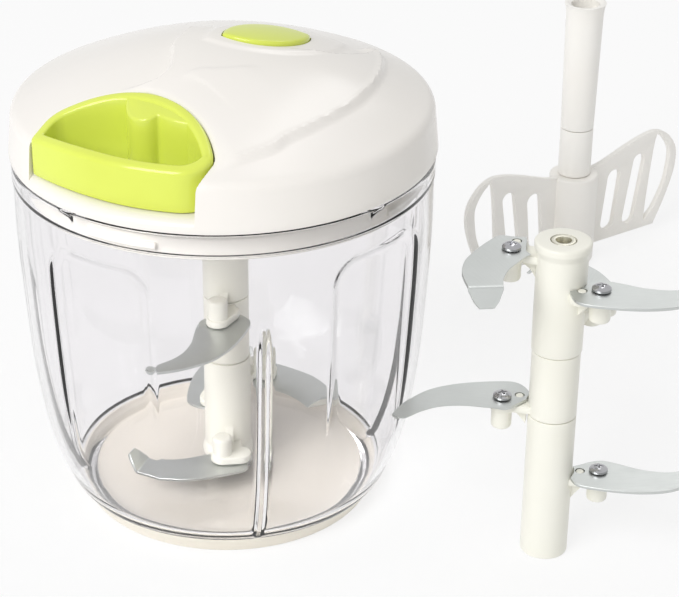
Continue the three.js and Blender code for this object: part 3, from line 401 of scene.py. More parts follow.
def carve(obj: bpy.types.Object, tool: bpy.types.Object, cut: Cut = Cut.AWAY) -> bpy.types.Object:
    """Cuts, joins or keeps what two solids share, and uses the second up.

    Args:
        obj: The solid that stays.
        tool: The solid that is used.
        cut: What is done.

    Returns:
        The first solid.
    """
    hold(obj)
    bpy.ops.object.modifier_add(type="BOOLEAN")
    modifier = obj.modifiers[-1]
    modifier.operation = cut.value
    modifier.object = tool
    modifier.solver = "EXACT"
    bpy.ops.object.modifier_apply(modifier=modifier.name)
    bpy.data.objects.remove(tool, do_unlink=True)
    return obj


def soften(obj: bpy.types.Object, width: float, segments: int = 3,
           angle: float = 40) -> bpy.types.Object:
    """Rounds the sharp edges of a solid.

    Args:
        obj: The solid.
        width: How far from the edge the rounding starts.
        segments: Facets across it.
        angle: Edges that turn by more than this many degrees are rounded.

    Returns:
        The same solid.
    """
    hold(obj)
    bpy.ops.object.modifier_add(type="BEVEL")
    modifier = obj.modifiers[-1]
    modifier.width = width * MM
    modifier.segments = segments
    modifier.limit_method = "ANGLE"
    modifier.angle_limit = math.radians(angle)
    modifier.miter_outer = "MITER_ARC"
    bpy.ops.object.modifier_apply(modifier=modifier.name)
    return obj


def gloss(obj: bpy.types.Object, angle: float = 35) -> bpy.types.Object:
    """Shades a mesh smooth, apart from edges sharper than an angle.

    Args:
        obj: The mesh object.
        angle: The angle in degrees.

    Returns:
        The same object.
    """
    hold(obj)
    bpy.ops.object.shade_smooth_by_angle(angle=math.radians(angle))
    return obj


def reshape(obj: bpy.types.Object, form: Callable[[np.ndarray], np.ndarray]) -> bpy.types.Object:
    """Moves every corner of a mesh.

    Args:
        obj: The mesh object.
        form: Takes the corners in millimetres and gives their new places.

    Returns:
        The same object.
    """
    corners = np.empty(len(obj.data.vertices) * 3)
    obj.data.vertices.foreach_get("co", corners)
    moved = form(corners.reshape(-1, 3) / MM)
    obj.data.vertices.foreach_set("co", (moved * MM).ravel())
    obj.data.update()
    return obj


def put(obj: bpy.types.Object, matrix: Matrix) -> bpy.types.Object:
    """Carries a mesh by a matrix in millimetres, its object staying at the origin.

    Args:
        obj: The mesh object.
        matrix: The move.

    Returns:
        The same object.
    """
    scaled = matrix.copy()
    scaled.translation *= MM
    obj.data.transform(scaled)
    obj.data.update()
    return obj


def twin(obj: bpy.types.Object, name: str, matrix: Matrix | None = None) -> bpy.types.Object:
    """A copy of a piece with a mesh of its own.

    Args:
        obj: The piece.
        name: Name of the copy.
        matrix: How the copy is moved, in millimetres.

    Returns:
        The copy.
    """
    hold(obj)
    bpy.ops.object.duplicate(linked=False)
    copy = bpy.context.object
    copy.name = copy.data.name = name
    return put(copy, matrix) if matrix is not None else copy


def turned(direction: float, x: float = 0, y: float = 0, z: float = 0) -> Matrix:
    """The matrix that turns +X to a direction and then moves the origin to x, y, z."""
    return Matrix.Translation((x, y, z)) @ Matrix.Rotation(turn_to(direction), 4, "Z")


# Finishes


def colour_of(code: str) -> tuple[float, float, float, float]:
    """The linear colour of a written one.

    Args:
        code: Six hexadecimal digits.

    Returns:
        Red, green, blue and 1.
    """
    parts = [int(code[i:i + 2], 16) / 255 for i in (0, 2, 4)]
    linear = [p / 12.92 if p <= 0.04045 else ((p + 0.055) / 1.055) ** 2.4 for p in parts]
    return linear[0], linear[1], linear[2], 1.0


@dataclass
class Surface:
    """A new material and the nodes that every finish uses."""

    name: str
    material: bpy.types.Material = field(init=False)

    def __post_init__(self) -> None:
        """Makes the material with its shader and its coordinates."""
        self.material = bpy.data.materials.new(self.name)
        self.material.use_nodes = True
        self.tree = self.material.node_tree
        self.shader = self.tree.nodes["Principled BSDF"]
        self.coordinates = self.tree.nodes.new("ShaderNodeTexCoord")

    def join(self, start: bpy.types.NodeSocket, end: bpy.types.NodeSocket) -> None:
        """Links one socket to another."""
        self.tree.links.new(start, end)

    def mapped(self, scale: Spot, turn: float = 0) -> bpy.types.NodeSocket:
        """Object coordinates, turned about +Z and stretched.

        Args:
            scale: Factor along each axis.
            turn: Degrees about +Z.

        Returns:
            The vector's socket.
        """
        node = self.tree.nodes.new("ShaderNodeMapping")
        node.vector_type = "TEXTURE"
        node.inputs["Rotation"].default_value[2] = math.radians(turn)
        node.inputs["Scale"].default_value = [1 / s for s in scale]
        self.join(self.coordinates.outputs["Object"], node.inputs["Vector"])
        return node.outputs["Vector"]

    def noise(self, size: float, detail: float = 2, scale: Spot = (1, 1, 1),
              turn: float = 0) -> bpy.types.NodeSocket:
        """A cloudy pattern whose spots are about one size across.

        Args:
            size: Size of a spot in millimetres.
            detail: How much finer structure it has.
            scale: Factor along each axis.
            turn: Degrees about +Z.

        Returns:
            The pattern's socket, from 0 to 1.
        """
        node = self.tree.nodes.new("ShaderNodeTexNoise")
        node.inputs["Scale"].default_value = 1 / (size * MM)
        node.inputs["Detail"].default_value = detail
        self.join(self.mapped(scale, turn), node.inputs["Vector"])
        return node.outputs["Fac"]

    def range(self, value: bpy.types.NodeSocket, low: float, high: float,
              start: float = 0.3, end: float = 0.7) -> bpy.types.NodeSocket:
        """Carries a pattern to another range.

        Args:
            value: The pattern.
            low: Result at its start.
            high: Result at its end.
            start: Where the pattern starts.
            end: Where it ends.

        Returns:
            The result's socket.
        """
        node = self.tree.nodes.new("ShaderNodeMapRange")
        for socket, number in zip(("From Min", "From Max", "To Min", "To Max"),
                                  (start, end, low, high)):
            node.inputs[socket].default_value = number
        self.join(value, node.inputs["Value"])
        return node.outputs["Result"]

    def tints(self, value: bpy.types.NodeSocket, first: str, second: str) -> bpy.types.NodeSocket:
        """A colour between two, chosen by a pattern.

        Args:
            value: The pattern.
            first: Colour at its low end.
            second: Colour at its high end.

        Returns:
            The colour's socket.
        """
        node = self.tree.nodes.new("ShaderNodeValToRGB")
        ramp = node.color_ramp.elements
        ramp[0].position, ramp[1].position = 0.3, 0.7
        ramp[0].color, ramp[1].color = colour_of(first), colour_of(second)
        self.join(value, node.inputs["Fac"])
        return node.outputs["Color"]

    def colour(self, value: bpy.types.NodeSocket, first: str, second: str) -> None:
        """Gives the shader a colour between two, chosen by a pattern."""
        self.join(self.tints(value, first, second), self.shader.inputs["Base Color"])

    def rough(self, value: bpy.types.NodeSocket, low: float, high: float) -> None:
        """Gives the shader a roughness between two, chosen by a pattern."""
        self.join(self.range(value, low, high), self.shader.inputs["Roughness"])

    def bump(self, height: bpy.types.NodeSocket, strength: float, depth: float) -> None:
        """Raises the surface by a pattern.

        Args:
            height: The pattern.
            strength: Share of it that counts.
            depth: Its depth in millimetres.
        """
        node = self.tree.nodes.new("ShaderNodeBump")
        node.inputs["Strength"].default_value = strength
        node.inputs["Distance"].default_value = depth * MM
        self.join(height, node.inputs["Height"])
        previous = self.shader.inputs["Normal"].links
        if previous:
            self.join(previous[0].from_socket, node.inputs["Normal"])
        self.join(node.outputs["Normal"], self.shader.inputs["Normal"])


@dataclass(frozen=True)
class MouldedPlastic:
    """Opaque moulded plastic: a shade that drifts a little, and a faint orange peel."""

    name: str
    slot: str
    colour: str
    shade: str
    roughness: float = 0.25
    peel: float = 0.02

    def make(self) -> bpy.types.Material:
        """The plastic as a material."""
        surface = Surface(self.name)
        surface.colour(surface.noise(34, 3), self.shade, self.colour)
        surface.rough(surface.noise(14, 2), self.roughness * 0.94, self.roughness * 1.08)
        surface.shader.inputs["IOR"].default_value = 1.5
        surface.bump(surface.noise(1.6, 2), 0.35, self.peel)
        return surface.material


@dataclass(frozen=True)
class ClearPlastic:
    """Clear moulded plastic with a faint tint and the slight waviness of a moulded wall."""

    name: str
    slot: str
    tint: str
    shade: str
    roughness: float = 0.02
    ior: float = 1.46

    def make(self) -> bpy.types.Material:
        """The plastic as a material."""
        surface = Surface(self.name)
        shader = surface.shader.inputs
        surface.colour(surface.noise(30, 2), self.tint, self.shade)
        shader["Transmission Weight"].default_value = 1.0
        shader["IOR"].default_value = self.ior
        surface.rough(surface.noise(9, 3), self.roughness * 0.5, self.roughness * 1.6)
        surface.bump(surface.noise(14, 1), 0.2, 0.04)
        return surface.material


@dataclass(frozen=True)
class WorkedSteel:
    """Steel: its shade drifts, and fine lines of its last working run one way."""

    name: str
    slot: str
    colour: str
    shade: str
    roughness: float
    lines: float = 0.02
    turn: float = 0

    def make(self) -> bpy.types.Material:
        """The steel as a material."""
        surface = Surface(self.name)
        surface.colour(surface.noise(12, 3), self.shade, self.colour)
        surface.shader.inputs["Metallic"].default_value = 1.0
        grain = surface.noise(0.35, 3, (0.06, 1, 1), self.turn)
        surface.rough(grain, self.roughness * 0.8, self.roughness * 1.25)
        surface.bump(grain, 0.3, self.lines)
        return surface.material


@dataclass(frozen=True)
class SoftRubber:
    """Matt silicone: a dusty shade and a fine skin."""

    name: str
    slot: str
    colour: str
    shade: str

    def make(self) -> bpy.types.Material:
        """The rubber as a material."""
        surface = Surface(self.name)
        surface.colour(surface.noise(5, 4), self.shade, self.colour)
        surface.rough(surface.noise(2, 3), 0.5, 0.68)
        surface.bump(surface.noise(0.5, 3), 0.3, 0.03)
        return surface.material


@dataclass(frozen=True)
class BraidedCord:
    """Braided cord: crossing strands that follow the cord's own map."""

    name: str
    slot: str
    colour: str
    shade: str

    def make(self) -> bpy.types.Material:
        """The cord as a material."""
        surface = Surface(self.name)
        waves = []
        for side in (1, -1):
            wave = surface.tree.nodes.new("ShaderNodeTexWave")
            wave.bands_direction = "DIAGONAL"
            wave.inputs["Scale"].default_value = 620
            wave.inputs["Distortion"].default_value = 0.4
            surface.join(surface.mapped((side, 1, 1)), wave.inputs["Vector"])
            waves.append(wave.outputs["Fac"])
        strands = surface.tree.nodes.new("ShaderNodeMath")
        strands.operation = "MAXIMUM"
        for wave, socket in zip(waves, strands.inputs):
            surface.join(wave, socket)
        surface.colour(strands.outputs[0], self.shade, self.colour)
        surface.rough(surface.noise(0.6, 3), 0.75, 0.95)
        surface.bump(strands.outputs[0], 0.8, 0.15)
        return surface.material


@dataclass
class Dresser:
    """Gives pieces their finish and body, and hides the nodes that they stand for."""

    made: dict[str, bpy.types.Material] = field(default_factory=dict)

    def paint(self, obj: bpy.types.Object, finish: object) -> None:
        """Puts a finish on all of a piece."""
        if finish.name not in self.made:
            self.made[finish.name] = finish.make()
        obj.data.materials.clear()
        obj.data.materials.append(self.made[finish.name])

    def show(self, obj: bpy.types.Object, body: str, finish: object, *nodes: str) -> None:
        """Finishes a new piece and hands it to the body that carries it.

        Args:
            obj: The piece.
            body: Name of the body that it rides on.
            finish: Its finish.
            nodes: The CAD nodes that it stands for.
        """
        self.paint(obj, finish)
        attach(obj, body)
        if nodes:
            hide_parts(*nodes)
        LOG.info("%s rides on %s, %d faces", obj.name, body, len(obj.data.polygons))


CLEAR = ClearPlastic("clear_bowl_plastic", "clear_plastic", "f7f6f7", "faf9fa")
LID = MouldedPlastic("ivory_lid_plastic", "lid_ivory", "f4f0eb", "f2eee8", 0.22)
# The base and its skirt are the lid's own ivory painted lighter: painted light that makes up for
# light lost through the bowl's clear wall.
SKIRT_PAINTED_LIGHT = MouldedPlastic("ivory_skirt_painted_light", "lid_ivory", "fefbf4", "fbf8f0", 0.3)
PAD = MouldedPlastic("ivory_pad_plastic", "pad_ivory", "f4eee2", "efe9dc", 0.4, 0.03)
LIME = MouldedPlastic("lime_plastic_gloss", "lime_plastic", "dfeb63", "dae55b", 0.14)
DRIVE = MouldedPlastic("drive_plastic_ivory", "drive_plastic", "dedcd4", "d6d4ca", 0.4)
POST = MouldedPlastic("post_plastic_ivory", "post_plastic", "f3f2e8", "f0eee2", 0.3)
PADDLE = MouldedPlastic("paddle_plastic_white", "paddle_plastic", "fbf9f4", "f7f4ee", 0.35)
CHROME = WorkedSteel("screw_steel_polished", "polished_steel", "c4c4c6", "b4b4b8", 0.09, 0.002)
SPRING = WorkedSteel("spring_steel_blued", "spring_steel", "74767a", "62646a", 0.32)
BRASS = WorkedSteel("bearing_plated", "brass", "e4e2d6", "d8d5c6", 0.34, 0.004)
SILICONE = SoftRubber("silicone_gasket", "silicone", "dcdbdd", "d0cfd2")
CORD = BraidedCord("braided_cord_white", "cord", "f2f0ea", "cfcabd")


# The picture


@dataclass
class Studio:
    """The camera at the photographed angle, a pale floor and soft plain light."""

    target: Spot = (0, 0, 60)
    distance: float = 657.4
    elevation: float = 28.2
    focal: float = 2076
    centre: Flat = (226.2, 309.9)
    roll: float = -1.03
    sensor: float = 36
    floor_size: float = 16000
    floor_glow: float = 0.76
    world_light: float = 0.52
    aim: Spot = (0.04, 0.02, 0.06)

    def build(self) -> None:
        """Places camera, floor, world and lamps."""
        self.camera()
        self.floor()
        self.world()
        self.lamp("lamp_key", (-1.05, -1.3, 1.45), (1.2, 1.2), 28.5)
        self.lamp("lamp_strip", (0.42, 0.95, 1.42), (0.3, 1.3), 2.4)

    def camera(self) -> None:
        """Adds the camera."""
        up = math.radians(self.elevation)
        settle()
        bpy.ops.object.camera_add()
        camera = bpy.context.object
        camera.name = "photo_camera"
        place = Vector(self.target) + self.distance * Vector((0, -math.cos(up), math.sin(up)))
        camera.matrix_world = (
            Matrix.Translation(place * MM) @ Matrix.Rotation(math.pi / 2 - up, 4, "X")
            @ Matrix.Rotation(math.radians(self.roll), 4, "Z"))
        lens = camera.data
        lens.sensor_fit = "HORIZONTAL"
        lens.sensor_width = self.sensor
        lens.lens = self.focal * self.sensor / PHOTO_WIDTH
        lens.shift_x = (PHOTO_WIDTH / 2 - self.centre[0]) / PHOTO_WIDTH
        lens.shift_y = (self.centre[1] - PHOTO_HEIGHT / 2) / PHOTO_WIDTH
        lens.clip_start = 0.01
        lens.clip_end = 60
        bpy.context.scene.camera = camera
        bpy.context.scene.view_settings.view_transform = "Standard"

    def seen(self, tree: bpy.types.NodeTree) -> bpy.types.NodeSocket:
        """One for rays that show the background: from the camera, or sent on by gloss or glass.

        Args:
            tree: The node tree that asks.

        Returns:
            The socket that says so.
        """
        path = tree.nodes.new("ShaderNodeLightPath")
        found = path.outputs["Is Camera Ray"]
        for kind in ("Is Transmission Ray", "Is Glossy Ray"):
            either = tree.nodes.new("ShaderNodeMath")
            either.operation = "MAXIMUM"
            tree.links.new(found, either.inputs[0])
            tree.links.new(path.outputs[kind], either.inputs[1])
            found = either.outputs[0]
        return found

    def floor(self) -> None:
        """Adds the pale floor, which keeps a faint shadow."""
        settle()
        bpy.ops.mesh.primitive_plane_add(size=self.floor_size * MM, location=(0, 0, 0))
        plane = bpy.context.object
        plane.name = "studio_floor"
        surface = Surface("floor_paper")
        surface.colour(surface.noise(400, 3), "fafafa", "fcfcfc")
        surface.shader.inputs["Roughness"].default_value = 0.9
        glow = surface.tree.nodes.new("ShaderNodeEmission")
        blend = surface.tree.nodes.new("ShaderNodeMixShader")
        share = surface.tree.nodes.new("ShaderNodeMath")
        share.operation = "MULTIPLY"
        share.inputs[1].default_value = self.floor_glow
        surface.join(self.seen(surface.tree), share.inputs[0])
        surface.join(share.outputs[0], blend.inputs[0])
        surface.join(surface.shader.outputs[0], blend.inputs[1])
        surface.join(glow.outputs[0], blend.inputs[2])
        output = surface.tree.nodes["Material Output"]
        surface.join(blend.outputs[0], output.inputs["Surface"])
        plane.data.materials.append(surface.material)

    def world(self) -> None:
        """Gives the world its white background and its softer light."""
        world = bpy.data.worlds.new("studio_world")
        bpy.context.scene.world = world
        world.use_nodes = True
        tree = world.node_tree
        light = tree.nodes["Background"]
        light.inputs["Color"].default_value = (1, 1, 1, 1)
        light.inputs["Strength"].default_value = self.world_light
        white = tree.nodes.new("ShaderNodeBackground")
        blend = tree.nodes.new("ShaderNodeMixShader")
        tree.links.new(self.seen(tree), blend.inputs[0])
        tree.links.new(light.outputs[0], blend.inputs[1])
        tree.links.new(white.outputs[0], blend.inputs[2])
        tree.links.new(blend.outputs[0], tree.nodes["World Output"].inputs["Surface"])

    def lamp(self, name: str, place: Spot, size: Flat, power: float) -> None:
        """Adds a soft lamp that faces the object.

        Args:
            name: Name of the lamp.
            place: Where it hangs, in metres.
            size: Width and length in metres.
            power: Power in watts.
        """
        settle()
        bpy.ops.object.light_add(type="AREA", location=place)
        lamp = bpy.context.object
        lamp.name = name
        lamp.data.shape = "RECTANGLE"
        lamp.data.size, lamp.data.size_y = size
        lamp.data.energy = power
        aim = Vector(self.aim) - Vector(place)
        lamp.rotation_euler = aim.to_track_quat("-Z", "Y").to_euler()


# The bowl


@dataclass
class Bowl:
    """The clear bowl, the pad under it and the pin that the cutter turns on."""

    dresser: Dresser
    rim_height: float = 117.4
    rim_radius: float = 64.5
    wall: float = 2.4
    foot_radius: float = 50.9
    foot_height: float = 7.1
    shares: tuple[Flat, ...] = ((0, 0), (0.044, 0.184), (0.128, 0.434), (0.257, 0.647),
                                (0.468, 0.853), (0.734, 0.99), (1, 1))
    panel_middle: float = 4.75
    panel_spread: float = 41.25
    panel_half: float = 17.5
    panel_top: float = 105
    panel_bottom: float = 24
    panel_corner: float = 10
    panel_depth: float = 0.9
    panel_edge: float = 3.6
    panel_fade: float = 40
    collar: float = 111
    collar_step: float = 0.45
    rib_direction: float = 10
    rib_half: float = 1.3
    rib_depth: float = 1.7
    rib_top: float = 90
    nub_direction: float = 44
    rib_fade: float = 18
    nub_middle: float = 114.3
    nub_half: float = 4.0
    nub_rise: float = 2.0
    nub_height: float = 0.55
    columns: int = 480

    def build(self) -> None:
        """Makes the three pieces."""
        bowl = spun("bowl_shell", self.profile(), self.columns)
        reshape(bowl, self.mould)
        bowl.visible_shadow = False
        self.dresser.show(gloss(bowl, 40), "bowl", CLEAR, "bowl")
        self.dresser.show(self.pad(), "bowl", PAD, "base_pad")
        self.dresser.show(self.pin(), "bowl", CHROME, "pivot_pin")

    def outer(self, height: np.ndarray) -> np.ndarray:
        """Radius of the outside at a height.

        Args:
            height: Heights above the table.

        Returns:
            The radii.
        """
        points = [(self.foot_height + up * (self.rim_height - self.foot_height),
                   self.foot_radius + out * (self.rim_radius - self.foot_radius))
                  for up, out in self.shares]
        curve = np.array(smooth(points, 10))
        height = np.asarray(height)
        below = self.collar_step * step_up((self.collar - height) / 0.5)
        return np.interp(height, curve[:, 0], curve[:, 1]) - below * step_up((height - 40) / 40)

    def levels(self) -> list[float]:
        """Heights of the rows of the wall, closer where the panels end."""
        found = [*np.arange(13, self.panel_bottom - 1, 2.5)]
        found += [*np.arange(self.panel_bottom - 1, self.panel_bottom + 12, 0.75)]
        found += [*np.linspace(self.panel_bottom + 13, self.panel_top - 13, 20)]
        found += [*np.arange(self.panel_top - 12, self.panel_top + 1.5, 0.75)]
        found += [*np.arange(self.panel_top + 2, self.collar - 0.8, 0.9)]
        found += [self.collar - 0.55, self.collar - 0.35, self.collar - 0.15, self.collar + 0.05]
        found += [*np.arange(self.collar + 0.6, self.rim_height - 1.6, 0.9)]
        return [float(z) for z in found]

    def profile(self) -> list[Flat]:
        """The bowl's section: up the outside, over the rim and down the inside."""
        levels = self.levels()
        wall = [(float(self.outer(z)), z) for z in levels]
        inside = [(r - self.wall, z) for r, z in reversed(wall)]
        rim = self.rim_radius
        low = smooth([(50.9, 7.1), (52.0, 8.7), (53.4, 12)], 4)[:-1]
        foot = [(0, 2.3), (20, 2.3), (40, 2.3), *arc(43.6, 3.1, 0.8, -1.57, -0.4, 4),
                (46.2, 5.2), (47.9, 6.9), (48.3, 7.1)]
        top = [*arc(rim - 0.5, self.rim_height - 0.5, 0.5, 0, 1.57, 4),
               *arc(rim - 2.6, self.rim_height - 0.4, 0.4, 1.57, 3.14, 3),
               (rim - 3.0, self.rim_height - 1.0), (rim - 2.4, self.rim_height - 1.6)]
        floor = smooth([(51, 12), (49.6, 9.6), (46.6, 7.4), (42.4, 6.2), (37.5, 5.8)], 4)
        boss = [(30, 5.8), (20, 5.8), (11, 5.8), (9, 6.0), (7.6, 6.9), (6.4, 8.0), (5.4, 8.5),
                (3, 8.5), (2.3, 8.2), (2.3, 4.0), (0, 4.0)]
        return [*foot, *low, *wall, *top, *inside, *floor, *boss]

    def spread(self) -> np.ndarray:
        """Angle of each column, closer together where panels end and ribs stand."""
        fine = np.linspace(0, math.tau, 7201)
        weight = np.ones_like(fine)
        marks = [(direction + side * self.panel_half, 2.0, 3.0)
                 for direction in self.panels() for side in (-1, 1)]
        marks += [(self.rib_direction + 90 * i, 1.6, 5.0) for i in range(4)]
        marks += [(self.nub_direction + 90 * i, 4.0, 1.5) for i in range(4)]
        for direction, width, gain in marks:
            away = np.degrees(np.abs((fine - turn_to(direction) + math.pi) % math.tau - math.pi))
            weight += gain * np.exp(-(away / width) ** 2)
        total = np.concatenate([[0], np.cumsum((weight[1:] + weight[:-1]) / 2)])
        return np.interp(np.arange(self.columns) / self.columns * total[-1], total, fine)

    def panels(self) -> list[float]:
        """Directions of the four panels."""
        return [self.panel_middle + side * self.panel_spread + half
                for half in (0, 180) for side in (-1, 1)]

    def mould(self, corners: np.ndarray) -> np.ndarray:
        """Presses the panels into the wall and raises the ribs and nubs inside it.

        Args:
            corners: The turned bowl's corners.

        Returns:
            Their new places.
        """
        x, y, z = corners.T
        radius = np.hypot(x, y)
        column = np.rint((np.arctan2(y, x) % math.tau) / math.tau * self.columns).astype(int)
        angle = self.spread()[column % self.columns]
        wall = z > 12.5
        inner = (radius < self.outer(z) - self.wall * 0.6) & (z < self.rim_height - 1.4)
        inner &= radius > 20
        change = np.zeros_like(radius)

        def away(direction: float) -> np.ndarray:
            """Turn from a direction to each corner, in radians."""
            return (angle - turn_to(direction) + math.pi) % math.tau - math.pi

        for direction in self.panels():
            turn = away(direction)
            across = np.where(np.abs(turn) < 1,
                              self.rim_radius * np.sin(np.clip(turn, -1, 1)), 1e3)
            half = self.rim_radius * math.sin(math.radians(self.panel_half)) - self.panel_corner
            tall = (self.panel_top - self.panel_bottom) / 2 - self.panel_corner
            dx = np.abs(across) - half
            dz = np.abs(z - (self.panel_top + self.panel_bottom) / 2) - tall
            edge = (np.hypot(np.maximum(dx, 0), np.maximum(dz, 0))
                    + np.minimum(np.maximum(dx, dz), 0) - self.panel_corner)
            depth = self.panel_depth * step_up((z - self.panel_bottom) / self.panel_fade)
            change -= np.where(wall, depth * step_up(-edge / self.panel_edge), 0)
        for i in range(4):
            turn = away(self.rib_direction + 90 * i)
            across = radius * np.abs(turn)
            height = step_up(1.25 - across / (self.rib_half * 1.35))
            height = height * step_up((self.rib_top - z) / self.rib_fade) * step_up((z - 6.5) / 3)
            change -= np.where(inner & (z > 6), self.rib_depth * height, 0)
            turn = away(self.nub_direction + 90 * i)
            oval = (1 - (radius * turn / self.nub_half) ** 2
                    - ((z - self.nub_middle) / self.nub_rise) ** 2)
            change -= np.where(inner, self.nub_height * step_up(np.clip(oval, 0, 1)), 0)
        radius = radius + change
        return np.stack([radius * np.cos(angle), radius * np.sin(angle), z], axis=1)

    def pad(self) -> bpy.types.Object:
        """The dished pad that grips the table."""
        section = eased([(0, 0, 0), (45.6, 0, 0), (46.6, 0.4, 0.7), (50, 6.8, 0.5),
                         (48.2, 6.8, 0.4), (44.9, 2.0, 1.0), (0, 2.0, 0)], 5)
        return gloss(spun("pad_ring", section, 192), 40)

    def pin(self) -> bpy.types.Object:
        """The pin with its rounded tip."""
        section = [(0, 4.3), (1.9, 4.3), (2.0, 4.4), (2.0, 20.6), *arc(0.9, 20.9, 1.1, 0, 1.57, 5),
                   (0, 22)]
        return gloss(spun("pivot_pin_turned", section, 32), 40)


# The lid


@dataclass(frozen=True)
class Crease:
    """A soft step on the lid along a line: its left side stands proud and fades away from it."""

    points: tuple[Flat, ...]
    height: float
    width: float
    fade: float
    taper: float = 8
    bead: float = 0

    def lift(self, plan: np.ndarray) -> np.ndarray:
        """Height of the step at points of the plan.

        Args:
            plan: The points' x and y.

        Returns:
            How much each is raised.
        """
        line = np.array(smooth(self.points, 6))
        lengths = np.concatenate([[0], np.cumsum(np.hypot(*np.diff(line, axis=0).T))])
        best = np.full(len(plan), 1e9)
        side = np.zeros(len(plan))
        along = np.zeros(len(plan))
        for i in range(len(line) - 1):
            start, step = line[i], line[i + 1] - line[i]
            size = float(np.hypot(*step))
            offset = plan - start
            share = np.clip(offset @ step / size ** 2, 0, 1)
            gap = offset - share[:, None] * step
            distance = np.hypot(*gap.T)
            turn = step[0] * offset[:, 1] - step[1] * offset[:, 0]
            nearer = distance < best
            best = np.where(nearer, distance, best)
            side = np.where(nearer, np.sign(turn), side)
            along = np.where(nearer, lengths[i] + share * size, along)
        signed = best * side
        ends = step_up(along / self.taper) * step_up((lengths[-1] - along) / self.taper)
        profile = (step_up(signed / self.width + 0.5)
                   * np.exp(-(np.maximum(signed, 0) / self.fade) ** 2))
        bead = self.bead * np.exp(-((signed - self.width * 0.45) / (self.width * 0.55)) ** 2)
        return ends * (self.height * profile + bead)


@dataclass(frozen=True)
class Dome:
    """The plain curve of the lid's top."""

    radius: float = 65
    base: float = 131.6
    height: float = 18.4
    power: float = 1.72

    def at(self, radius: np.ndarray, lift: float = 0) -> np.ndarray:
        """Height of the curve at distances from the axis, raised by a lift."""
        share = np.clip(np.asarray(radius) / self.radius, 0, 1)
        return self.base + self.height * (1 - share ** self.power) + lift


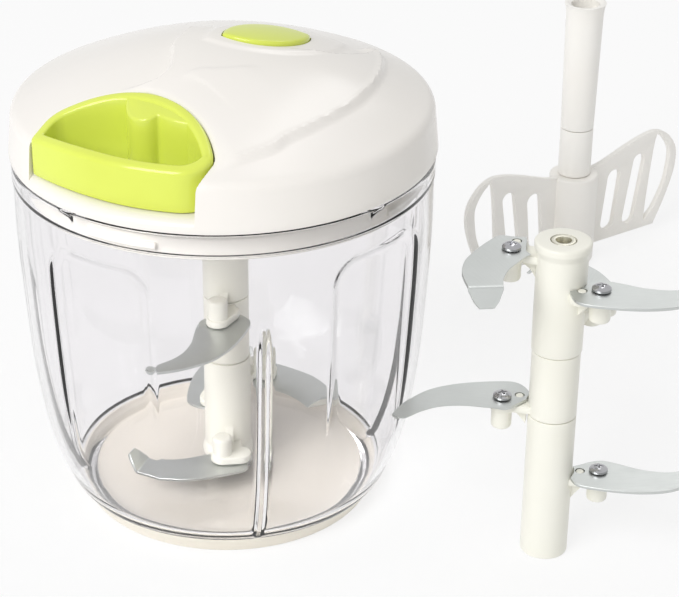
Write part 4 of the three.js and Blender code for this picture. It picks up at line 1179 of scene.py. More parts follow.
@dataclass
class Handle:
    """The pull handle: a lime loop that fills its recess in the lid, with the cord's anchor."""

    dresser: Dresser
    dome: Dome
    direction: float = -34
    back: float = 33.5
    front: float = 61
    flat: float = 39
    half: float = 28.5
    back_radius: float = 36.8
    back_left: float = 9
    back_right: float = 4
    left_corner: float = 1.6
    right_corner: float = 10
    least_corner: float = 1.2
    bottom: float = 122.5
    rise: float = 1.3
    wall: float = 3.2
    rim: float = 1.1
    reach: float = 7.6
    anchor_left: float = 8
    anchor_valley: float = 5.2
    anchor_right: float = 12.5
    cord_height: float = 126.3
    cell_radius: float = 2.5

    def outline(self, grow: float, fine: int = 10, mouth: float = 0) -> list[Flat]:
        """The handle's plan, pulled along +X, grown by a distance.

        Args:
            grow: How far outside the handle it runs.
            fine: Points on each short arc.
            mouth: Where an open front ends, or 0 for the handle's own front.

        Returns:
            The outline, anticlockwise from the front's left corner.
        """
        half, front, radius = self.half + grow, self.front + grow, self.back_radius + grow
        near, far, left, right = (
            max(size + grow, self.least_corner)
            for size in (self.back_left, self.back_right, self.left_corner, self.right_corner))
        centre = self.back + self.back_radius
        near_sweep = math.asin((half - near) / (radius - near))
        far_sweep = math.asin((half - far) / (radius - far))
        if mouth:
            points = [(mouth, -half), (mouth, half)]
        else:
            wide = front + self.flat
            first = math.asin((half - left) / (wide - left))
            last = math.asin((half - right) / (front - right))
            points = (arc((wide - left) * math.cos(first) - self.flat, left - half, left,
                          -math.pi / 2, -first, fine)
                      + arc(-self.flat, 0, wide, -first, 0, fine * 3)[1:]
                      + arc(0, 0, front, 0, last, fine * 2)[1:-1]
                      + arc((front - right) * math.cos(last), half - right, right,
                            last, math.pi / 2, fine * 2))
        points += arc(centre - (radius - far) * math.cos(far_sweep), half - far, far,
                      math.pi / 2, math.pi - far_sweep, fine)
        points += arc(centre, 0, radius, math.pi - far_sweep, math.pi + near_sweep, fine * 4)[1:-1]
        points += arc(centre - (radius - near) * math.cos(near_sweep), near - half, near,
                      math.pi + near_sweep, 1.5 * math.pi, fine)
        return points

    def loop(self) -> bpy.types.Object:
        """The handle's wall: its rim follows the dome and stands a little proud of it."""
        rim, wall = self.rim, self.wall
        bend = [(1 - math.cos(a), 1 - math.sin(a)) for a in np.linspace(0, math.pi / 2, 7)]
        section: list[tuple[float, float, float]] = [(0.5, 0, 0), (0.15, 0, 0.15), (0, 0, 0.5)]
        section += [(0, share, 0.5) for share in (0.25, 0.5, 0.75)]
        section += [(a * rim, 1, -b * rim) for a, b in bend]
        section += [(wall - a * rim, 1, -b * rim) for a, b in reversed(bend)]
        section += [(wall, share, 0.5) for share in (0.75, 0.5, 0.25)]
        section += [(wall, 0, 0.5), (wall - 0.15, 0, 0.15), (wall - 0.5, 0, 0)]
        sides = []
        for inset, share, lift in section:
            plan = np.array(self.outline(-inset))
            top = self.dome.at(np.hypot(*plan.T), self.rise)
            height = self.bottom + share * (top - self.bottom) + lift
            sides.append(np.column_stack([plan, height]))
        rings = [[tuple(map(float, side[i])) for side in sides] for i in range(len(sides[0]))]
        return drawn("pull_handle_loop", rings, Ends.MEETING)

    def anchor(self) -> bpy.types.Object:
        """The cord's anchor: a block on the back wall with two upright swells."""
        face = self.back + self.wall
        front, root = face + self.reach, self.back + self.wall * 0.5
        plan = [(root, -self.anchor_left)]
        plan += bowed((face + 0.6, -self.anchor_left), (front, -4), (front, 0), 12)
        plan += bowed((front, 0), (front, 4.2), (face + 3.8, self.anchor_valley), 10)[1:]
        plan += bowed((face + 3.8, self.anchor_valley), (face + 4.9, 9.6),
                      (face + 3.4, 15.6), 12)[1:]
        plan += [(root + 3.2, 15.6), (root + 1.2, self.anchor_right)]
        block = raised("anchor_block", plan, self.bottom, self.bottom + 30)

        def level(corners: np.ndarray) -> np.ndarray:
            """Lowers the block's top to the rim."""
            x, y, z = corners.T
            rim = self.dome.at(np.hypot(x, y), self.rise - 0.3)
            return np.stack([x, y, np.where(z > self.bottom + 1, rim, z)], axis=1)

        reshape(block, level)
        return soften(block, 0.8, 4, 50)

    def build(self) -> None:
        """Makes the handle, hollowed for the knot."""
        handle = carve(self.loop(), self.anchor(), Cut.ON)
        knot_x = self.back + self.wall + self.reach / 2
        cell = plug("knot_cell", self.cell_radius, self.bottom - 3,
                    self.cord_height + self.cell_radius)
        carve(handle, put(cell, Matrix.Translation((knot_x, 0, 0))))
        bore = plug("cord_bore", 1.5, -4, 10, 24)
        put(bore, Matrix.Translation((self.back, 0, self.cord_height))
            @ Matrix.Rotation(math.pi / 2, 4, "Y"))
        carve(handle, bore)
        put(handle, turned(self.direction))
        self.dresser.show(gloss(handle, 38), "handle", LIME, "pull_handle")


@dataclass
class Cord:
    """The pull cord: its turns on the reel, its run to the handle and the knot that holds it."""

    dresser: Dresser
    handle: Handle
    radius: float = 0.9
    start: Spot = (14.94, 14.18, 126.3)
    bend: float = 28.4
    knot_size: float = 0.44
    drum: float = 18.36
    low: float = 124.75
    high: float = 127.75
    count: float = 2.62

    def run(self) -> list[Spot]:
        """The way from the turns through the eyelet to the knot."""
        x, y, z = self.start
        line = [(x, y), (x + (self.bend - x) * 0.45, y * 0.55),
                (x + (self.bend - x) * 0.86, y * 0.14), (self.bend + 0.9, 0), (33, 0), (37.6, 0)]
        return [(px, py, z) for px, py in smooth(line, 9)]

    def knot(self) -> list[Spot]:
        """The closed line of an overhand knot, drawn tight."""
        x = self.handle.back + self.handle.wall + self.handle.reach / 2
        size = self.knot_size
        return [(x + size * (math.sin(t) + 2 * math.sin(2 * t)),
                 size * (math.cos(t) - 2 * math.cos(2 * t)),
                 self.start[2] - size * 1.7 * math.sin(3 * t))
                for t in np.linspace(0, math.tau, 72, endpoint=False)]

    def turns(self) -> list[Spot]:
        """The line of the cord's turns on the drum."""
        end = self.count * math.tau
        return [(self.drum * math.cos(t), self.drum * math.sin(t),
                 self.low + (self.high - self.low) * t / end) for t in np.linspace(0, end, 220)]

    def build(self) -> None:
        """Makes the three pieces."""
        turn = turned(self.handle.direction)
        way = put(swept("pull_cord_braid", self.run(), self.radius), turn)
        self.dresser.paint(way, CORD)
        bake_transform(way)
        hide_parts("pull_cord")
        knot = put(swept("cord_knot_tied", self.knot(), self.radius, True), turn)
        self.dresser.show(gloss(knot, 60), "handle", CORD, "cord_knot")
        gloss(way, 60)
        coil = put(swept("cord_winding_turns", self.turns(), self.radius), turn)
        self.dresser.show(gloss(coil, 60), "reel", CORD, "cord_winding")


@dataclass
class Button:
    """The eye shaped button in the lid, its leg and the coil that lifts it."""

    dresser: Dresser
    dome: Dome
    x: float = 13.6
    y: float = 8.2
    length: float = 28.6
    width: float = 19
    turn: float = 22
    coil_radius: float = 3
    coil_wire: float = 0.3
    coil_low: float = 139.3
    coil_high: float = 143.3
    press: float = 2

    def eye(self, grow: float = 0, count: int = 40, length: float = 0, width: float = 0,
            x: float | None = None, y: float | None = None) -> list[Flat]:
        """The outline of an eye: two arcs that meet in two corners.

        Args:
            grow: How much further out it runs on each side.
            count: Points on each arc.
            length: Length of another eye.
            width: Width of another eye.
            x: Middle of another eye.
            y: Middle of another eye.

        Returns:
            The outline in the lid's plan.
        """
        half = (length or self.length) / 2 + grow
        rise = (width or self.width) / 2 + grow
        radius = (half ** 2 + rise ** 2) / (2 * rise)
        sweep = math.asin(half / radius)
        up = math.pi / 2
        points = (arc(0, radius - rise, radius, -up - sweep, -up + sweep, count)[:-1]
                  + arc(0, rise - radius, radius, up - sweep, up + sweep, count)[:-1])
        cosine, sine = math.cos(math.radians(self.turn)), math.sin(math.radians(self.turn))
        middle = (self.x if x is None else x, self.y if y is None else y)
        return [(middle[0] + px * cosine - py * sine, middle[1] + px * sine + py * cosine)
                for px, py in points]

    def coil(self) -> list[Spot]:
        """The line of the coil that lifts the button: three open turns between two flat ends."""
        points = []
        for t in np.linspace(-0.4, 3.4, 122):
            share = min(1.0, max(0.0, t / 3))
            angle = math.tau * t
            points.append((self.x + self.coil_radius * math.cos(angle),
                           self.y + self.coil_radius * math.sin(angle),
                           self.coil_low + (self.coil_high - self.coil_low) * share))
        return points

    def build(self) -> None:
        """Makes the button and its spring."""
        outline = np.array(self.eye(count=48))
        middle = np.array([self.x, self.y])
        rings = []
        sides = [(1.12, -3.4), (1.12, -2.4), (1.0, -2.4), (1.0, -1.0), (1.0, 1.1), (0.985, 1.45),
                 (0.955, 1.68), (0.91, 1.78), (0.84, 1.82), (0.72, 1.85), (0.56, 1.88),
                 (0.38, 1.9), (0.2, 1.9), (0.05, 1.9)]
        for share, lift in sides:
            plan = middle + (outline - middle) * share
            heights = self.dome.at(np.hypot(*plan.T), lift)
            rings.append([(float(px), float(py), float(h)) for (px, py), h in zip(plan, heights)])
        button = drawn("eye_button", rings, Ends.CAPPED)
        leg = spun("button_leg", [(0, 132.8), (1.2, 132.8), (1.5, 133.1), (1.5, 143),
                                  (0, 143)], 24)
        carve(button, put(leg, Matrix.Translation((24.4, 11, 0))), Cut.ON)
        self.dresser.show(gloss(button, 50), "button", LIME, "lock_button")
        spring = swept("button_coil", self.coil(), self.coil_wire)
        self.dresser.show(gloss(spring, 60), "lid", SPRING, "button_spring")
        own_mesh(spring)


@dataclass
class Lid:
    """The lid: its domed cover with the swirl and the recess, its base, gasket and screws."""

    dresser: Dresser
    dome: Dome
    handle: Handle
    button: Button
    radius: float = 65
    edge: float = 118
    cover_wall: float = 2
    shoulder: float = 4
    platform_rise: float = 0.55
    draft: float = 1.1
    recess_gap: float = 0.45
    recess_floor: float = 122.2
    pocket_wall: float = 1.5
    ramp_direction: float = 49.6
    ramp_sweep: float = 22
    screw_places: tuple[Flat, ...] = ((45, 46), (45, 146), (45, 246), (32, 70), (32, 160),
                                      (32, 250))
    columns: int = 480

    def creases(self) -> list[Crease]:
        """The lines of the swirl."""
        return [
            Crease(((-8, 24.3), (-10.9, 11), (-14.4, 2.4), (-14.8, -13), (-17.9, -19.2),
                    (-23.4, -20.9), (-30.4, -19.8)), 1.4, 1.4, 13, 10, 0.1),
            Crease(((40.1, 16.7), (47.3, 21.5), (49.2, 15), (47.6, -1.8), (42, -18.8),
                    (34.3, -31.4), (25, -41.1), (18.1, -46.7), (13.2, -51.3), (1.2, -57.1),
                    (-2.4, -58.9))[::-1], 1.15, 1.6, 20, 8, 0.3),
            Crease(((12, -14.2), (5.3, -16.1), (-1, -17.3), (-6.3, -17.6), (-10.5, -20),
                    (-12, -24)), 0.4, 2.2, 12, 7),
        ]

    def relief(self, corners: np.ndarray) -> np.ndarray:
        """Raises the platform and the swirl, and rounds the edge of the recess.

        Args:
            corners: The plain cover's corners.

        Returns:
            Their new places.
        """
        x, y, z = corners.T
        plan = np.stack([x, y], axis=1)
        radius = np.hypot(x, y)
        outside = (z > self.dome.at(radius) - 1.2) & (radius < 63)
        lift = np.zeros_like(z)
        eye = np.array(self.button.eye(count=60, length=46, width=29, x=16.5, y=9.6))
        inside = self.distance(plan, eye)
        lift += self.platform_rise * step_up(inside / 2.6 + 0.5)
        for crease in self.creases():
            lift += crease.lift(plan)
        gap = self.distance(plan, self.recess_plan(0))
        lift -= 0.55 * np.clip(1 + gap / 1.5, 0, 1) ** 2
        return np.stack([x, y, np.where(outside, z + lift, z)], axis=1)

    def recess_plan(self, grow: float) -> np.ndarray:
        """The recess in the lid's plan, grown by a distance.

        Args:
            grow: How far outside the recess.

        Returns:
            The outline's points.
        """
        plan = np.array(self.handle.outline(self.recess_gap + grow, 10, self.radius + 4))
        angle = turn_to(self.handle.direction)
        cosine, sine = math.cos(angle), math.sin(angle)
        return np.stack([plan[:, 0] * cosine - plan[:, 1] * sine,
                         plan[:, 0] * sine + plan[:, 1] * cosine], axis=1)

    @staticmethod
    def distance(plan: np.ndarray, outline: np.ndarray) -> np.ndarray:
        """Distance of points from an outline, more than zero inside it.

        Args:
            plan: The points.
            outline: The closed outline.

        Returns:
            The distances.
        """
        best = np.full(len(plan), 1e9)
        inside = np.zeros(len(plan), bool)
        for start, end in zip(outline, np.roll(outline, -1, axis=0)):
            step = end - start
            offset = plan - start
            share = np.clip(offset @ step / max(float(step @ step), 1e-12), 0, 1)
            best = np.minimum(best, np.hypot(*(offset - share[:, None] * step).T))
            crosses = (start[1] > plan[:, 1]) != (end[1] > plan[:, 1])
            rise = step[1] if abs(step[1]) > 1e-12 else 1e-12
            inside ^= crosses & (plan[:, 0] < start[0] + (plan[:, 1] - start[1]) / rise * step[0])
        return np.where(inside, best, -best)

    def cover(self) -> bpy.types.Object:
        """The domed cover with its swirl, its recess and its opening for the button."""
        curve, brow = self.shoulder, self.radius - self.draft
        start = brow - 0.576 * curve
        slope = float(self.dome.at(start) - self.dome.at(start + 0.01)) / 0.01
        tangent = math.atan2(1, slope)
        centre = (start - curve * math.cos(tangent),
                  float(self.dome.at(start)) - curve * math.sin(tangent))
        rows = [(float(r), float(self.dome.at(r))) for r in np.arange(0, start - 0.3, 0.75)]
        bend = arc(*centre, curve, tangent, 0, 10)
        wall = [(brow + self.draft * float(share),
                 centre[1] + (self.edge + 0.6 - centre[1]) * float(share))
                for share in np.linspace(0.08, 1, 6)]
        foot = [(self.radius - 0.15, self.edge + 0.15), (self.radius - 0.6, self.edge),
                (self.radius - self.cover_wall, self.edge)]
        inner = [(self.radius - self.cover_wall, 127)]
        inner += [(float(r), float(self.dome.at(r, -self.cover_wall - 0.15)))
                  for r in np.linspace(59.6, 0, 24)]
        cover = reshape(spun("lid_dome", [*rows, *bend, *wall, *foot, *inner], self.columns),
                        self.relief)
        pocket = raised("recess_pocket", [tuple(p) for p in self.recess_plan(self.pocket_wall)],
                        self.recess_floor - self.pocket_wall, 152)
        limit = [*[(float(r), float(self.dome.at(r, -0.9))) for r in np.arange(0, 60, 3)],
                 (60, 132.4), (62.6, 130), (63.4, 127), (64.2, self.edge + 0.3),
                 (0, self.edge + 0.3)]
        carve(pocket, spun("recess_limit", limit, 128), Cut.COMMON)
        carve(cover, pocket, Cut.ON)
        recess = raised("recess_room", [tuple(p) for p in self.recess_plan(0)],
                        self.recess_floor, 156)
        carve(cover, recess)
        brow = spun("ledge_brow", [(69, 118.6), (69, 123), *[
            (self.radius - 3.6 + 3.7 * math.sin(a), self.recess_floor - 3.0 * (1 - math.cos(a)))
            for a in np.linspace(0, math.pi / 2, 9)]], 256)
        sector = raised("ledge_sector", [tuple(p) for p in self.recess_plan(0)], 118, 156)
        carve(cover, carve(brow, sector, Cut.COMMON))
        opening = raised("button_room", self.button.eye(0.4, 48), 128, 156)
        carve(cover, opening)
        return gloss(cover, 32)

    def build(self) -> None:
        """Makes the lid's pieces."""
        self.dresser.show(self.cover(), "lid", LID, "lid_cover")
        # The base wears the lid's ivory painted lighter, as painted light for the shade behind the
        # clear wall.
        self.dresser.show(self.base(), "lid", SKIRT_PAINTED_LIGHT, "lid_base")
        gasket = spun("lid_gasket_ring", eased([(60, 117.7, 0.3), (62.7, 117.7, 0.3),
                                               (62.7, 118.6, 0.3), (60, 118.6, 0.3)], 4), 160)
        self.dresser.show(gloss(gasket), "seal", SILICONE, "lid_gasket")
        screw = Fixing(2.8, 1.6, 1.4, 10.8).make("lid_screw_model")
        for i, (circle, direction) in enumerate(self.screw_places, 1):
            place = turned(direction, *at_direction(circle, direction), self.edge + 0.6)
            self.dresser.show(twin(screw, f"lid_screw_{i}_turned", place), "lid", CHROME,
                              f"lid_screw_{i}")
        bpy.data.objects.remove(screw, do_unlink=True)
        self.dresser.show(self.eyelet(), "lid", CHROME, "cord_eyelet")

    def eyelet(self) -> bpy.types.Object:
        """The flared ring that the cord leaves the lid through."""
        back = self.handle.back - self.recess_gap - self.pocket_wall
        ring = spun("cord_eyelet_flared", eased([
            (1.5, back - 1.5, 0.45), (3.0, back - 1.5, 0.5), (3.0, back - 0.3, 0.3),
            (2.1, back - 0.3, 0.1), (2.1, back + 1.5, 0.2), (1.5, back + 1.5, 0.2)], 5), 40)
        put(ring, turned(self.handle.direction, 0, 0, self.handle.cord_height)
            @ Matrix.Rotation(math.pi / 2, 4, "Y"))
        return gloss(ring, 40)

    def base(self) -> bpy.types.Object:
        """The base plate with its skirt and its four locking ramps."""
        section = eased([
            (8.7, 115.9, 0.3), (10.7, 115.9, 0.4), (10.7, 118.9, 0.6), (57.7, 118.9, 0.8),
            (57.7, 108.4, 0.5), (59.7, 108.4, 0.5), (59.7, 118.9, 0.3), (62.7, 118.9, 0.3),
            (62.7, 120.4, 0.3), (8.7, 120.4, 0.3)], 4)
        base = spun("lid_base_plate", section, 192)
        for i in range(4):
            start = turn_to(self.ramp_direction + 90 * i)
            end = start + math.radians(self.ramp_sweep)
            plan = arc(0, 0, 61.2, start, end, 14) + arc(0, 0, 58.7, end, start, 14)
            ramp = soften(raised(f"ramp_{i}", plan, 110.9, 112.8), 0.4, 3, 60)
            carve(base, ramp, Cut.ON)
        return gloss(base, 40)


# Cutters


@dataclass(frozen=True)
class Fixing:
    """A cross head screw."""

    head: float
    height: float
    shank: float
    length: float

    def make(self, name: str) -> bpy.types.Object:
        """The screw with its head at the origin, facing -Z, and its shank up +Z.

        Args:
            name: Name of the new object.

        Returns:
            The screw.
        """
        head, tall, shank = self.head, self.height, self.shank
        dome = [(head * s, -tall * math.sqrt(max(0, 1 - 0.82 * s * s)) + tall * 0.08)
                for s in np.linspace(0, 0.97, 9)]
        thread = []
        z = 0.8
        while z < self.length - 1.2:
            thread += [(shank, z), (shank * 0.82, z + 0.3), (shank * 0.82, z + 0.45)]
            z += 0.75
        section = [*dome, (head, -0.25), (head * 0.97, 0), (shank, 0.02), *thread,
                   (shank * 0.8, self.length - 0.6), (0, self.length)]
        screw = spun(name, section, 40)
        arm, thick = head * 0.6, head * 0.16
        plan = [(arm, -thick), (arm, thick), (thick, thick), (thick, arm), (-thick, arm),
                (-thick, thick), (-arm, thick), (-arm, -thick), (-thick, -thick), (-thick, -arm),
                (thick, -arm), (thick, -thick)]
        cross = raised("cross", plan, -tall - 1, -tall * 0.35)

        def point(corners: np.ndarray) -> np.ndarray:
            """Narrows the recess towards its floor."""
            x, y, z = corners.T
            share = np.where(z > -tall, 0.72, 1.0)
            return np.stack([x * share, y * share, z], axis=1)

        carve(screw, reshape(cross, point))
        return gloss(soften(screw, 0.07, 2, 45), 35)


@dataclass(frozen=True)
class Blade:
    """One blade's kind and its place on the post."""

    long: bool
    level: float
    radius: float
    angle: float
    heading: float

    def matrix(self, thickness: float) -> Matrix:
        """Carries the blade's own frame to its place on the post."""
        x, y = at_direction(self.radius, self.angle)
        return turned(self.heading, x, y, self.level - thickness / 2)


BLADES = (
    Blade(False, 4.5, 14.7, 102, 24), Blade(True, 13, 13, -53, -88),
    Blade(False, 23, 14.7, 231, 153), Blade(True, 54, 15, 100, 77), Blade(True, 78, 15, -83, -86),
)


@dataclass
class Cutter:
    """The cutter: a post in three sections that carries five blades on arms."""

    dresser: Dresser
    length: float = 106
    cap_radius: float = 8.4
    cap_height: float = 3.8
    post_radius: float = 7.2
    lower: float = 35.5
    middle: float = 22
    spigot: float = 4.4
    gap: float = 0.3
    thickness: float = 0.9
    tongue: float = 3.7
    tongue_thickness: float = 2.4
    boss_radius: float = 3.1
    screw_bore: float = 1.6
    room_radius: float = 7.8
    spigot_depth: float = 6
    mouth: float = 5.9
    fold_angle: float = 50
    fold_rows: int = 4
    tip_rows: int = 7
    boss_length: float = 8.6
    peg_pitch: float = 5.5
    peg_radius: float = 1.2
    placings: dict[str, tuple[str, Matrix]] = field(default_factory=lambda: {
        "": ("cutter",
             Matrix.Translation((0, 0, 8.8)) @ Matrix.Rotation(math.radians(-110), 4, "Z")),
        "spare_": ("spare_cutter",
                   Matrix.Translation((97, -47, 106)) @ Matrix.Rotation(math.pi, 4, "Y")),
    })

    def long_blade(self) -> tuple[list[Flat], list[Flat]]:
        """A long blade's convex and concave edges, both from root to tip."""
        convex = smooth([(-9, 1.2), (-8.6, 4.4), (-7.2, 7.2), (-4, 8.9), (4, 10.6), (12, 11.2),
                         (20, 10.0), (28, 5.8), (32.6, 1.9), (34.7, -0.5)], 8)
        concave = smooth([(-9, -2.0), (-5.5, -3.4), (-1.5, -5.4), (2, -6), (6, -4.6), (13, -1.4),
                          (20, -0.2), (26, -1.4), (31.3, -3.7), (33.4, -3.6)], 8)
        return convex, concave

    def short_blade(self) -> tuple[list[Flat], list[Flat]]:
        """A short blade's convex and concave edges, both from root to fold."""
        convex = smooth([(-8.6, -0.5), (-7.9, 2.1), (-7.1, 5.9), (-2.3, 7.8), (5, 9.5),
                         (11.9, 10.2), (18.6, 9.0), (22.7, 7.2), (27.2, 4.5)], 8)
        concave = smooth([(-8.6, -2.1), (-4.2, -3.2), (-0.4, -4.3), (1.5, -6.1), (3.4, -5.3),
                          (8, -4.1), (13.3, -3.1), (18.9, -3.4), (22.9, -4.5)], 8)
        return convex, concave

    def blade(self, name: str, blade: Blade) -> bpy.types.Object:
        """One blade in its own frame: screw hole at the origin, tip along +X, convex edge at +Y.

        Args:
            name: Name of the new object.
            blade: Which blade.

        Returns:
            The blade.
        """
        convex, concave = self.long_blade() if blade.long else self.short_blade()
        thick = self.thickness
        count = len(convex)
        rings = []
        for i, (high, low) in enumerate(zip(convex, concave)):
            a, b = Vector(high), Vector(low)
            wide = max((a - b).length, 0.01)
            across = (a - b) / wide
            ground = min(1.7, wide * 0.35) * min(1, max(0, (i - count * 0.3) / (count * 0.15)))
            land = b + across * max(ground, 0.06)
            thin = 0.12 if ground > 0 else thick - 0.12
            ring = [(b.x, b.y, 0.06), (b.x, b.y, 0.06 + thin), (land.x, land.y, thick),
                    (a.x - across.x * 0.12, a.y - across.y * 0.12, thick),
                    (a.x, a.y, thick - 0.12), (a.x, a.y, 0.12),
                    (a.x - across.x * 0.12, a.y - across.y * 0.12, 0),
                    (b.x + across.x * 0.1, b.y + across.y * 0.1, 0)]
            rings.append(ring)
        if not blade.long:
            rings += self.folded(rings[-1], convex[-1], concave[-1])
        obj = drawn(name, rings, Ends.CAPPED)
        for x, radius in ((0, self.screw_bore), (-self.peg_pitch, self.peg_radius + self.gap)):
            hole = plug("blade_hole", radius, -2, 3, 28)
            carve(obj, put(hole, Matrix.Translation((x, 0, 0))))
        return gloss(obj, 30)

    def folded(self, last: Sequence[Spot], high: Flat, low: Flat) -> list[list[Spot]]:
        """The rings of a short blade's tip, bent up along its fold and narrowing.

        Args:
            last: The section at the fold.
            high: Convex end of the fold.
            low: Concave end of the fold.

        Returns:
            The rings that follow.
        """
        a, b = Vector(high), Vector(low)
        fold = (a - b).normalized()
        ahead = Vector((fold.y, -fold.x))
        wide = (a - b).length
        rings = []
        place = Vector((0, 0))
        rows, steps = self.fold_rows, self.tip_rows
        for k in range(1, steps + 1):
            turn = math.radians(self.fold_angle) * min(1, k / rows)
            length = 0.35 if k <= rows else 1.75
            place = place + Vector((math.cos(turn), math.sin(turn))) * length
            far = max(0, k - rows) / (steps - rows)
            narrow = wide * 0.225 * far
            if k == steps:
                narrow += 0.6
            ring = []
            for x, y, z in last:
                across = (Vector((x, y)) - b).dot(fold)
                across = narrow + across * (wide - 2 * narrow) / wide
                back = -z * math.sin(turn)
                spot = b + fold * across + ahead * (place.x + back)
                ring.append((spot.x, spot.y, place.y + z * math.cos(turn)))
            rings.append(ring)
        return rings

    def arm(self, blade: Blade) -> bpy.types.Object:
        """The arm that carries a blade: a tongue, a web to the post and a long screw boss.

        Args:
            blade: Which blade.

        Returns:
            The arm on its unit.
        """
        matrix = blade.matrix(self.thickness)
        screw = (matrix @ Vector((0, 0, 0))).to_2d()
        peg = (matrix @ Vector((-self.peg_pitch, 0, 0))).to_2d()
        middle = (screw + peg) / 2
        angle = math.atan2(middle.y, middle.x)
        bottom = blade.level + self.thickness / 2 + self.gap
        top = bottom + self.tongue_thickness
        arm = soften(raised("arm_tongue", stadium(tuple(peg), tuple(screw), self.tongue),
                            bottom, top), 0.4, 2, 60)
        length = middle.length
        half = self.tongue
        bridge = [(2, -half), (length, -half), (length, half), (2, half)]
        carve(arm, put(soften(raised("arm_bridge", bridge, bottom, top), 0.4, 2, 60),
                       Matrix.Rotation(angle, 4, "Z")), Cut.ON)
        side = [(0, 0), (length, 0), (length, 0.8), *smooth([(length - 0.6, 1.3), (9.5, 3.6),
                                                            (7.2, 6.6)], 5), (0, 6.6)]
        web = raised("arm_web", side, -1.2, 1.2)
        put(web, Matrix.Translation((0, 0, bottom + 1.2)) @ Matrix.Rotation(angle, 4, "Z")
            @ Matrix.Rotation(math.pi / 2, 4, "X"))
        carve(arm, web, Cut.ON)
        tall = self.boss_length
        wide = self.boss_radius
        section = [(0, 0), (2.9, 0), (wide, 0.3), (wide, tall - 1.0),
                   *arc(2.1, tall - 1.0, 1.0, 0, 1.57, 5), (0, tall)]
        carve(arm, put(spun("arm_boss", section, 32),
                       Matrix.Translation((screw.x, screw.y, bottom))), Cut.ON)
        pin = spun("arm_peg", [(0, -self.thickness - self.gap), (1.0, -self.thickness - self.gap),
                               (1.2, -self.thickness - 0.1), (1.2, 1), (0, 1)], 24)
        carve(arm, put(pin, Matrix.Translation((peg.x, peg.y, bottom))), Cut.ON)
        hole = plug("arm_hole", self.screw_bore, -3, 6.3, 24)
        return carve(arm, put(hole, Matrix.Translation((screw.x, screw.y, bottom))))

    def posts(self) -> list[tuple[str, bpy.types.Object]]:
        """The three sections of the post."""
        wide, spigot, tall = self.post_radius + self.gap, self.spigot, self.lower
        deep = self.spigot_depth
        lower = spun("post_lower_turned", finer(eased([
            (0, 0, 0), (self.cap_radius, 0, 0.8),
            (self.cap_radius - 0.1, self.cap_height - 1.6, 1.2),
            (wide, self.cap_height + 0.4, 1.6),
            (wide, tall, 0.3), (spigot, tall, 0.2),
            (spigot, tall + deep, 0.4), (0, tall + deep, 0)], 5)), 72)
        for blade in BLADES[:3]:
            carve(lower, self.arm(blade), Cut.ON)
        carve(lower, spun("bearing_room", [(0, -3), (3.9, -3), (3.9, 12.3), (2.3, 12.3), (2.3, 15),
                                           (0, 15)], 32))
        low, high = tall + self.gap, tall + self.middle
        middle = spun("post_middle_turned", finer(eased([
            (0, low, 0), (self.post_radius, low, 0.3), (self.post_radius, high, 0.3),
            (spigot, high, 0.2), (spigot, high + deep, 0.4), (0, high + deep, 0)], 5)), 72)
        arm = self.arm(BLADES[3])
        carve(arm, plug("joint_room", self.room_radius, high, 110, 48))
        carve(middle, arm, Cut.ON)
        carve(middle, plug("spigot_room", spigot + self.gap, 30, low + deep))
        low = high + self.gap
        upper = spun("post_upper_turned", finer(eased([
            (0, low, 0), (self.post_radius, low, 0.3), (self.post_radius, self.length, 0.5),
            (0, self.length, 0)], 5)), 72)
        carve(upper, self.arm(BLADES[4]), Cut.ON)
        carve(upper, plug("spigot_room", spigot + self.gap, 50, low + deep))
        carve(upper, drive_room(self.length, self.mouth))
        return [("post_lower", lower), ("post_middle", middle), ("post_upper", upper)]

    def build(self) -> None:
        """Makes one unit and copies it to its two places."""
        unit: list[tuple[str, bpy.types.Object, object]] = []
        for name, post in self.posts():
            unit.append((name, gloss(post, 38), POST))
        bearing = spun("bearing_turned", eased([(2.3, 0, 0.2), (3.6, 0, 0.3), (3.6, 12, 0.2),
                                                (2.3, 12, 0.2)], 3), 36)
        unit.append(("post_bearing", gloss(bearing), BRASS))
        screw = Fixing(2.85, 1.9, 1.3, 6).make("blade_screw_model")
        room = plug("post_room", self.room_radius, -10, 120, 48)
        for i, blade in enumerate(BLADES, 1):
            matrix = blade.matrix(self.thickness)
            obj = put(self.blade(f"blade_{i}_ground", blade), matrix)
            carve(obj, twin(room, "post_room_copy"))
            steel = WorkedSteel(f"blade_steel_{i}", "blade_steel", "cdd0ce", "c8cbc9", 0.38,
                                0.003, blade.heading - 90)
            unit.append((f"blade_{i}", gloss(obj, 30), steel))
            copy = twin(screw, f"blade_screw_{i}_turned",
                        matrix @ Matrix.Translation((0, 0, -self.gap)))
            unit.append((f"blade_screw_{i}", copy, CHROME))
        for name, obj, finish in unit:
            for prefix, (body, matrix) in self.placings.items():
                copy = twin(obj, f"{prefix}{name}_made", matrix)
                self.dresser.show(copy, body, finish, f"{prefix}{name}")
        for leftover in [*(obj for _, obj, _ in unit), screw, room]:
            bpy.data.objects.remove(leftover, do_unlink=True)


def drive_room(top: float, mouth: float) -> bpy.types.Object:
    """The room of a drive socket: a round bore that two ribs reach into.

    Args:
        top: Height of the open end.
        mouth: Radius of the bore at its mouth.

    Returns:
        The room as a solid.
    """
    depth, bore, thick = 14, 5.3, 1.3
    low = top - depth
    room = spun("drive_room", [(0, low), (bore, low), (bore, top - 0.6), (mouth, top),
                               (mouth, top + 3), (0, top + 3)], 48)
    for side in (-1, 1):
        inner, outer = 3.4 * side, 9 * side
        plan = [(inner, -thick), (outer, -thick), (outer, thick), (inner, thick)]
        rib = soften(raised("drive_rib", plan if side > 0 else plan[::-1], low - 3, top - 3.3),
                     0.3, 2, 60)
        carve(room, rib)
    return room


# The paddle


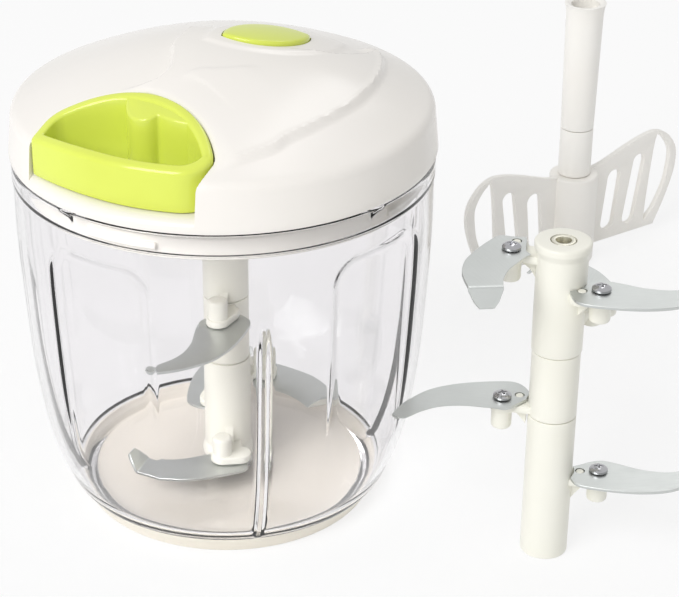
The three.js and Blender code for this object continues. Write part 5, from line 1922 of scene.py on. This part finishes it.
@dataclass
class Paddle:
    """The mixing paddle: a hub with two slotted vanes and a stem in two sections."""

    dresser: Dresser
    x: float = 135
    y: float = 150
    direction: float = -58.5
    reach: float = 52.3
    height: float = 45
    thickness: float = 2
    hub_radius: float = 9.3
    hub_height: float = 37
    spigot_bore: float = 4.7
    outline: tuple[Flat, ...] = (
        (0.818, 0.089), (0.908, 0.3), (0.981, 0.533), (1, 0.7), (0.975, 0.822), (0.889, 0.944),
        (0.784, 1), (0.669, 0.993), (0.507, 0.944), (0.249, 0.844), (0.1, 0.82))
    outer_slot: tuple[Flat, ...] = (
        (0.772, 0.9), (0.836, 0.93), (0.918, 0.8), (0.931, 0.676), (0.899, 0.464), (0.817, 0.274),
        (0.76, 0.2), (0.717, 0.21))

    def vane(self) -> bpy.types.Object:
        """One vane, standing along +X."""
        edge = [(s * self.reach, t * self.height) for s, t in self.outline]
        plan = [(0.1 * self.reach, 0.089 * self.height), *smooth(edge, 6)]
        vane = raised("vane", plan, -self.thickness / 2, self.thickness / 2)
        slot = [(s * self.reach, t * self.height) for s, t in self.outer_slot]
        slots = [smooth(slot, 6, closed=True)]
        for foot, top, low, high, half in ((0.554, 0.623, 0.243, 0.758, 0.0563),
                                           (0.345, 0.384, 0.253, 0.671, 0.0618)):
            slots.append(stadium((foot * self.reach, low * self.height),
                                 (top * self.reach, high * self.height), half * self.reach))
        for i, outline in enumerate(slots):
            carve(vane, raised(f"vane_slot_{i}", outline, -5, 5))
        soften(vane, 0.55, 3, 50)
        return put(vane, Matrix.Rotation(math.pi / 2, 4, "X"))

    def build(self) -> None:
        """Makes the hub with its vanes and the two stem sections."""
        place = turned(self.direction, self.x, self.y)
        hub = spun("paddle_hub_turned", eased([
            (0, 0, 0), (self.hub_radius, 0, 2.2), (self.hub_radius, self.hub_height, 0.9),
            (4.4, self.hub_height, 0), (4.4, self.hub_height + 6, 0.4),
            (0, self.hub_height + 6, 0)], 7), 72)
        vane = self.vane()
        carve(hub, twin(vane, "vane_left", Matrix.Rotation(math.pi, 4, "Z")), Cut.ON)
        carve(hub, vane, Cut.ON)
        carve(hub, plug("hub_bore", 2.3, -3, 15, 28))
        self.dresser.show(gloss(put(hub, place), 38), "paddle", PADDLE, "paddle_hub")
        lower = spun("stem_lower_turned", eased([
            (0, 37.3, 0), (6.2, 37.3, 0.3), (6.2, 56, 0.3), (4.4, 56, 0), (4.4, 62, 0.4),
            (0, 62, 0)], 5), 64)
        carve(lower, plug("spigot_room", self.spigot_bore, 30, 43.3))
        self.dresser.show(gloss(put(lower, place), 38), "paddle", PADDLE, "paddle_stem_lower")
        upper = spun("stem_upper_turned", [
            *eased([(0, 56.3, 0), (6.2, 56.3, 0.3), (6.9, 99.6, 0)], 5, closed=False),
            *smooth([(6.95, 101.5), (7.15, 103.6), (7.5, 105.4)], 4), (7.7, 105.9), (7.5, 106),
            (0, 106)], 64)
        carve(upper, plug("spigot_room", self.spigot_bore, 50, 62.3))
        carve(upper, drive_room(106, 6.5))
        self.dresser.show(gloss(put(upper, place), 38), "paddle", PADDLE, "paddle_stem_upper")


# The rest


@dataclass
class Inside:
    """What the lid hides: the drive's own nodes, which only need their finish."""

    dresser: Dresser
    finishes: dict[str, object] = field(
        default_factory=lambda: {"drive_plastic": DRIVE, "spring_steel": SPRING})

    def build(self) -> None:
        """Paints every node that is still shown by the slot that its record names."""
        slots = {part["node"]: part["material_slot"] for part in frame["record"]["subparts"]}
        for name, node in frame["nodes"].items():
            if node.hide_render:
                continue
            finish = self.finishes.get(slots.get(name, ""), DRIVE)
            self.dresser.paint(node, finish)
            LOG.info("%s keeps its own mesh in %s", name, finish.name)


def main() -> None:
    """Builds the studio and every piece of the chopper, in order."""
    logging.basicConfig(level=logging.INFO, format="%(name)s: %(message)s")
    Studio().build()
    dresser = Dresser()
    dome = Dome()
    handle = Handle(dresser, dome)
    button = Button(dresser, dome)
    lid = Lid(dresser, dome, handle, button)
    Bowl(dresser).build()
    lid.build()
    handle.build()
    button.build()
    Cord(dresser, handle).build()
    Cutter(dresser).build()
    Paddle(dresser).build()
    Inside(dresser).build()


if __name__ == "__main__":
    main()
